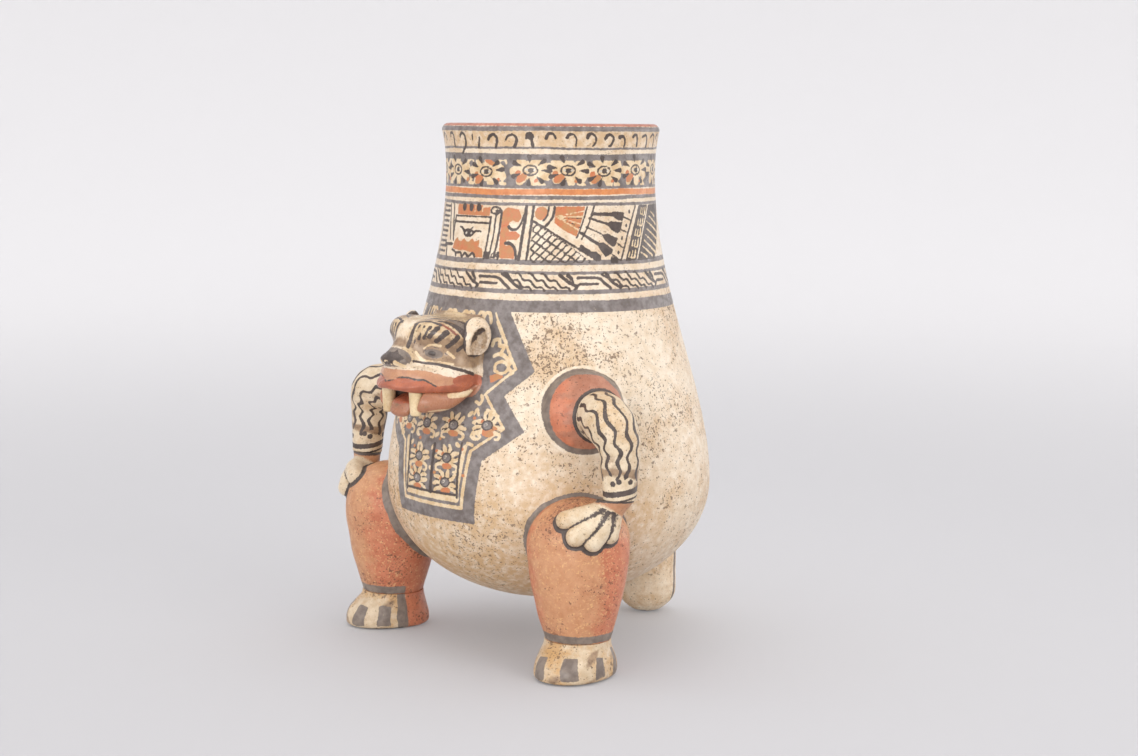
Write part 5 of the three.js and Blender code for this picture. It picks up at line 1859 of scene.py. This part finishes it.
# Nodes (two where the right mirrors the left), form, box, step, painting, finish
PIECES = [
    (
        ("head",), lambda P: rooted(P, head_form(P), 2.6), (-44, -142, 160), (44, -70, 222), 0.55,
        paint_head, FACE, "face_slip",
    ),
    (
        ("lower_jaw",), lambda P: rooted(P, jaw_form(P), 2.4), (-36, -136, 148), (36, -66, 182),
        0.55, paint_jaw, JAW, "red_slip",
    ),
    (
        ("tail_leg",), lambda P: rooted(P, tail_form(P), 6.0), (-24, 66, -1), (24, 118, 98), 0.8,
        paint_tail, TAIL_LIT_CREAM, "body_slip",
    ),
    (
        ("ear_left", "ear_right"), lambda P: rooted(P, ear_form(P), 2.4), (10, -104, 180),
        (48, -62, 226), 0.5, paint_ear, FACE, "face_slip",
    ),
    (
        ("fang_left", "fang_right"), fang_form, (6, -128, 153), (20, -114, 173), 0.4, None, TOOTH,
        "face_slip",
    ),
    (
        ("shoulder_left", "shoulder_right"), lambda P: rooted(P, boss_form(P), 3.5),
        (40, -100, 122), (125, 0, 192), 0.8, paint_boss, BOSS, "red_slip",
    ),
    (
        ("arm_left", "arm_right"), arm_form, (60, -90, 98), (146, -10, 176), 0.6, paint_arm, LIMB,
        "limb_slip",
    ),
    (
        ("hand_left", "hand_right"), hand_form, (80, -110, 70), (142, -20, 116), 0.55, paint_hand,
        LIMB, "limb_slip",
    ),
    (
        ("front_leg_left", "front_leg_right"), leg_rooted, (50, -94, 22), (124, -22, 116), 0.8,
        paint_leg, EARTH_RED, "red_slip",
    ),
    (
        ("foot_left", "foot_right"), foot_form, (60, -96, -1), (120, -26, 24), 0.6, paint_foot,
        FOOT_SHADED_CREAM, "foot_slip",
    ),
]
for nodes, form, low, high, step, paint, material, slot in PIECES:
    skins = [skin(form, low, high, step)]
    skins.append(mirrored(*skins[0]))
    fields = paint(skins[0][0]) if paint else None
    for node, (verts, faces) in zip(nodes, skins):
        mesh_object("cat_" + node, verts, faces, node, slot, material, fields)

# The loose balls in the hollow legs


def pellet(node, body):
    """A ball of clay rolled between the palms, out of round and a little pitted."""
    low, high = (np.array(corner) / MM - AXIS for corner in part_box(node))
    centre, radius = (low + high) / 2, (high - low).min() / 2
    form = lambda P: length(P - centre) - radius + 0.12 + 0.12 * lumps(P, radius * 1.3, 3)
    verts, faces = skin(form, low - 1.5, high + 1.5, 0.4)
    mesh_object("clay_" + node, verts, faces, node, "bare_clay", BARE, body=body)


for body, body_nodes in frame["record"]["behaviour"]["bodies"].items():
    if body != BODY:
        pellet(body_nodes[0], body)

# Camera, floor and light

IMAGE_WIDTH = 1138
FOCAL_PIXELS = 2050.0
SENSOR = 36.0
VIEW_AZIMUTH = math.radians(47)
VIEW_PITCH = 0.1248
VIEW_PAN = -0.00965
VIEW_ROLL = 0.00727
VIEW_DISTANCE = 1311.2
VIEW_HEIGHT = 331.7


def from_view(x, y, z):
    """A direction across, into and up the view, as a direction in the row frame."""
    c, s = math.cos(VIEW_AZIMUTH), math.sin(VIEW_AZIMUTH)
    return Vector((x * c - y * s, x * s + y * c, z))


level, dip = math.cos(VIEW_PITCH), math.sin(VIEW_PITCH)
straight, aside = math.cos(VIEW_PAN), math.sin(VIEW_PAN)
ahead_dir = from_view(-aside * level, straight * level, -dip)
across_dir = from_view(straight, aside, 0)
up_dir = from_view(-aside * dip, straight * dip, level)
right = across_dir * math.cos(VIEW_ROLL) + up_dir * math.sin(VIEW_ROLL)
up = up_dir * math.cos(VIEW_ROLL) - across_dir * math.sin(VIEW_ROLL)
place = from_view(0, -VIEW_DISTANCE, VIEW_HEIGHT) + Vector(AXIS)
camera = bpy.data.objects.new("camera", bpy.data.cameras.new("camera"))
bpy.context.scene.collection.objects.link(camera)
camera.data.sensor_width = SENSOR
camera.data.lens = FOCAL_PIXELS * SENSOR / IMAGE_WIDTH
camera.data.clip_end = 50
camera.matrix_world = Matrix((
    (right.x, up.x, -ahead_dir.x, place.x * MM),
    (right.y, up.y, -ahead_dir.y, place.y * MM),
    (right.z, up.z, -ahead_dir.z, place.z * MM),
    (0, 0, 0, 1),
))
bpy.context.scene.camera = camera


FLOOR_RADIUS = 2.0
COVE_RADIUS = 1.3
BACKDROP_HEIGHT = 2.5
BACKDROP_SIDES = 96
# painted light and shade: the paper is darker near the middle, under the floor lamp, and lighter
# further out, where its light falls off
PAPER_NEAR_SHADED = srgb(173, 172, 174)
PAPER_FAR_LIT = srgb(217, 216, 217)


def backdrop():
    """A round studio backdrop: a flat floor that curves up into a wall all round."""
    bend = np.linspace(0, math.pi / 2, 25)[1:]
    floor = np.linspace(0.05, FLOOR_RADIUS, 12)
    outer = FLOOR_RADIUS + COVE_RADIUS
    radii = np.concatenate([floor, FLOOR_RADIUS + COVE_RADIUS * np.sin(bend), [outer]])
    heights = np.concatenate([0 * floor, COVE_RADIUS * (1 - np.cos(bend)), [BACKDROP_HEIGHT]])
    count = BACKDROP_SIDES
    turns = np.linspace(0, 2 * math.pi, count, endpoint=False)
    ways = [(math.cos(a), math.sin(a)) for a in turns]
    points = [(r * x, r * y, z) for r, z in zip(radii, heights) for x, y in ways] + [(0, 0, 0)]
    quads = []
    for j in range(count):
        k = (j + 1) % count
        for low in range(0, (len(radii) - 1) * count, count):
            quads.append((low + j, low + k, low + count + k, low + count + j))
        quads.append((len(points) - 1, k, j))
    mesh = bpy.data.meshes.new("backdrop")
    mesh.from_pydata(points, [], quads)
    mesh.shade_smooth()
    obj = bpy.data.objects.new("backdrop", mesh)
    bpy.context.scene.collection.objects.link(obj)
    s = Shader("backdrop_paper")
    reach = s.nodes.new("ShaderNodeVectorMath")
    reach.operation = "LENGTH"
    s.feed(reach.inputs[0], s.place)
    # painted light and shade: darker near the middle, lighter further out
    paper = s.mix(s.steps(reach.outputs["Value"], 0.5, 2.6), PAPER_NEAR_SHADED, PAPER_FAR_LIT)
    s.feed(s.surface.inputs["Base Color"], paper)
    s.surface.inputs["Roughness"].default_value = 0.9
    mesh.materials.append(s.material)
    return obj


studio = backdrop()


def linked(name, state):
    """The backdrop as a lamp's list of what it lights, or of what it leaves out."""
    group = bpy.data.collections.new(name)
    group.objects.link(studio)
    group.collection_objects[0].light_linking.link_state = state
    return group


object_only = linked("lit_without_backdrop", "EXCLUDE")
backdrop_only = linked("lit_backdrop", "INCLUDE")


AIM = Vector((0, 0, 170)) * MM  # the middle of the pot


def lamp(name, place_mm, size, power, on_backdrop=False):
    data = bpy.data.lights.new(name, "AREA")
    data.shape = "DISK"
    data.size = size
    data.energy = power
    obj = bpy.data.objects.new(name, data)
    bpy.context.scene.collection.objects.link(obj)
    obj.visible_camera = False
    if not on_backdrop:
        obj.light_linking.receiver_collection = object_only
    obj.location = Vector(place_mm) * MM
    aim = AIM - obj.location
    obj.rotation_euler = aim.to_track_quat("-Z", "Y").to_euler()
    return obj


lamp("key", from_view(1250, -1300, 1150), 1.2, 8.4, on_backdrop=True)
lamp("fill", from_view(-1200, -1200, 600), 1.4, 7)
lamp("low", from_view(-450, -1700, 200), 0.8, 9)
lamp("side", from_view(1300, 450, 330), 1.0, 3.4)
lamp("top", from_view(0, 100, 2100), 2.0, 3, on_backdrop=True)
# Softens the pot's shadow: it lights the backdrop alone, and the pot casts none in it.
floor_lamp = lamp("floor", from_view(0, 0, 2400), 3.0, 38, on_backdrop=True)
floor_lamp.light_linking.receiver_collection = backdrop_only
floor_lamp.light_linking.blocker_collection = backdrop_only
world = bpy.data.worlds.new("studio")
world.use_nodes = True
sky = world.node_tree.nodes["Background"].inputs
sky["Color"].default_value = srgb(250, 249, 250)
sky["Strength"].default_value = 1.29
bpy.context.scene.world = world
bpy.context.scene.view_settings.view_transform = "Standard"
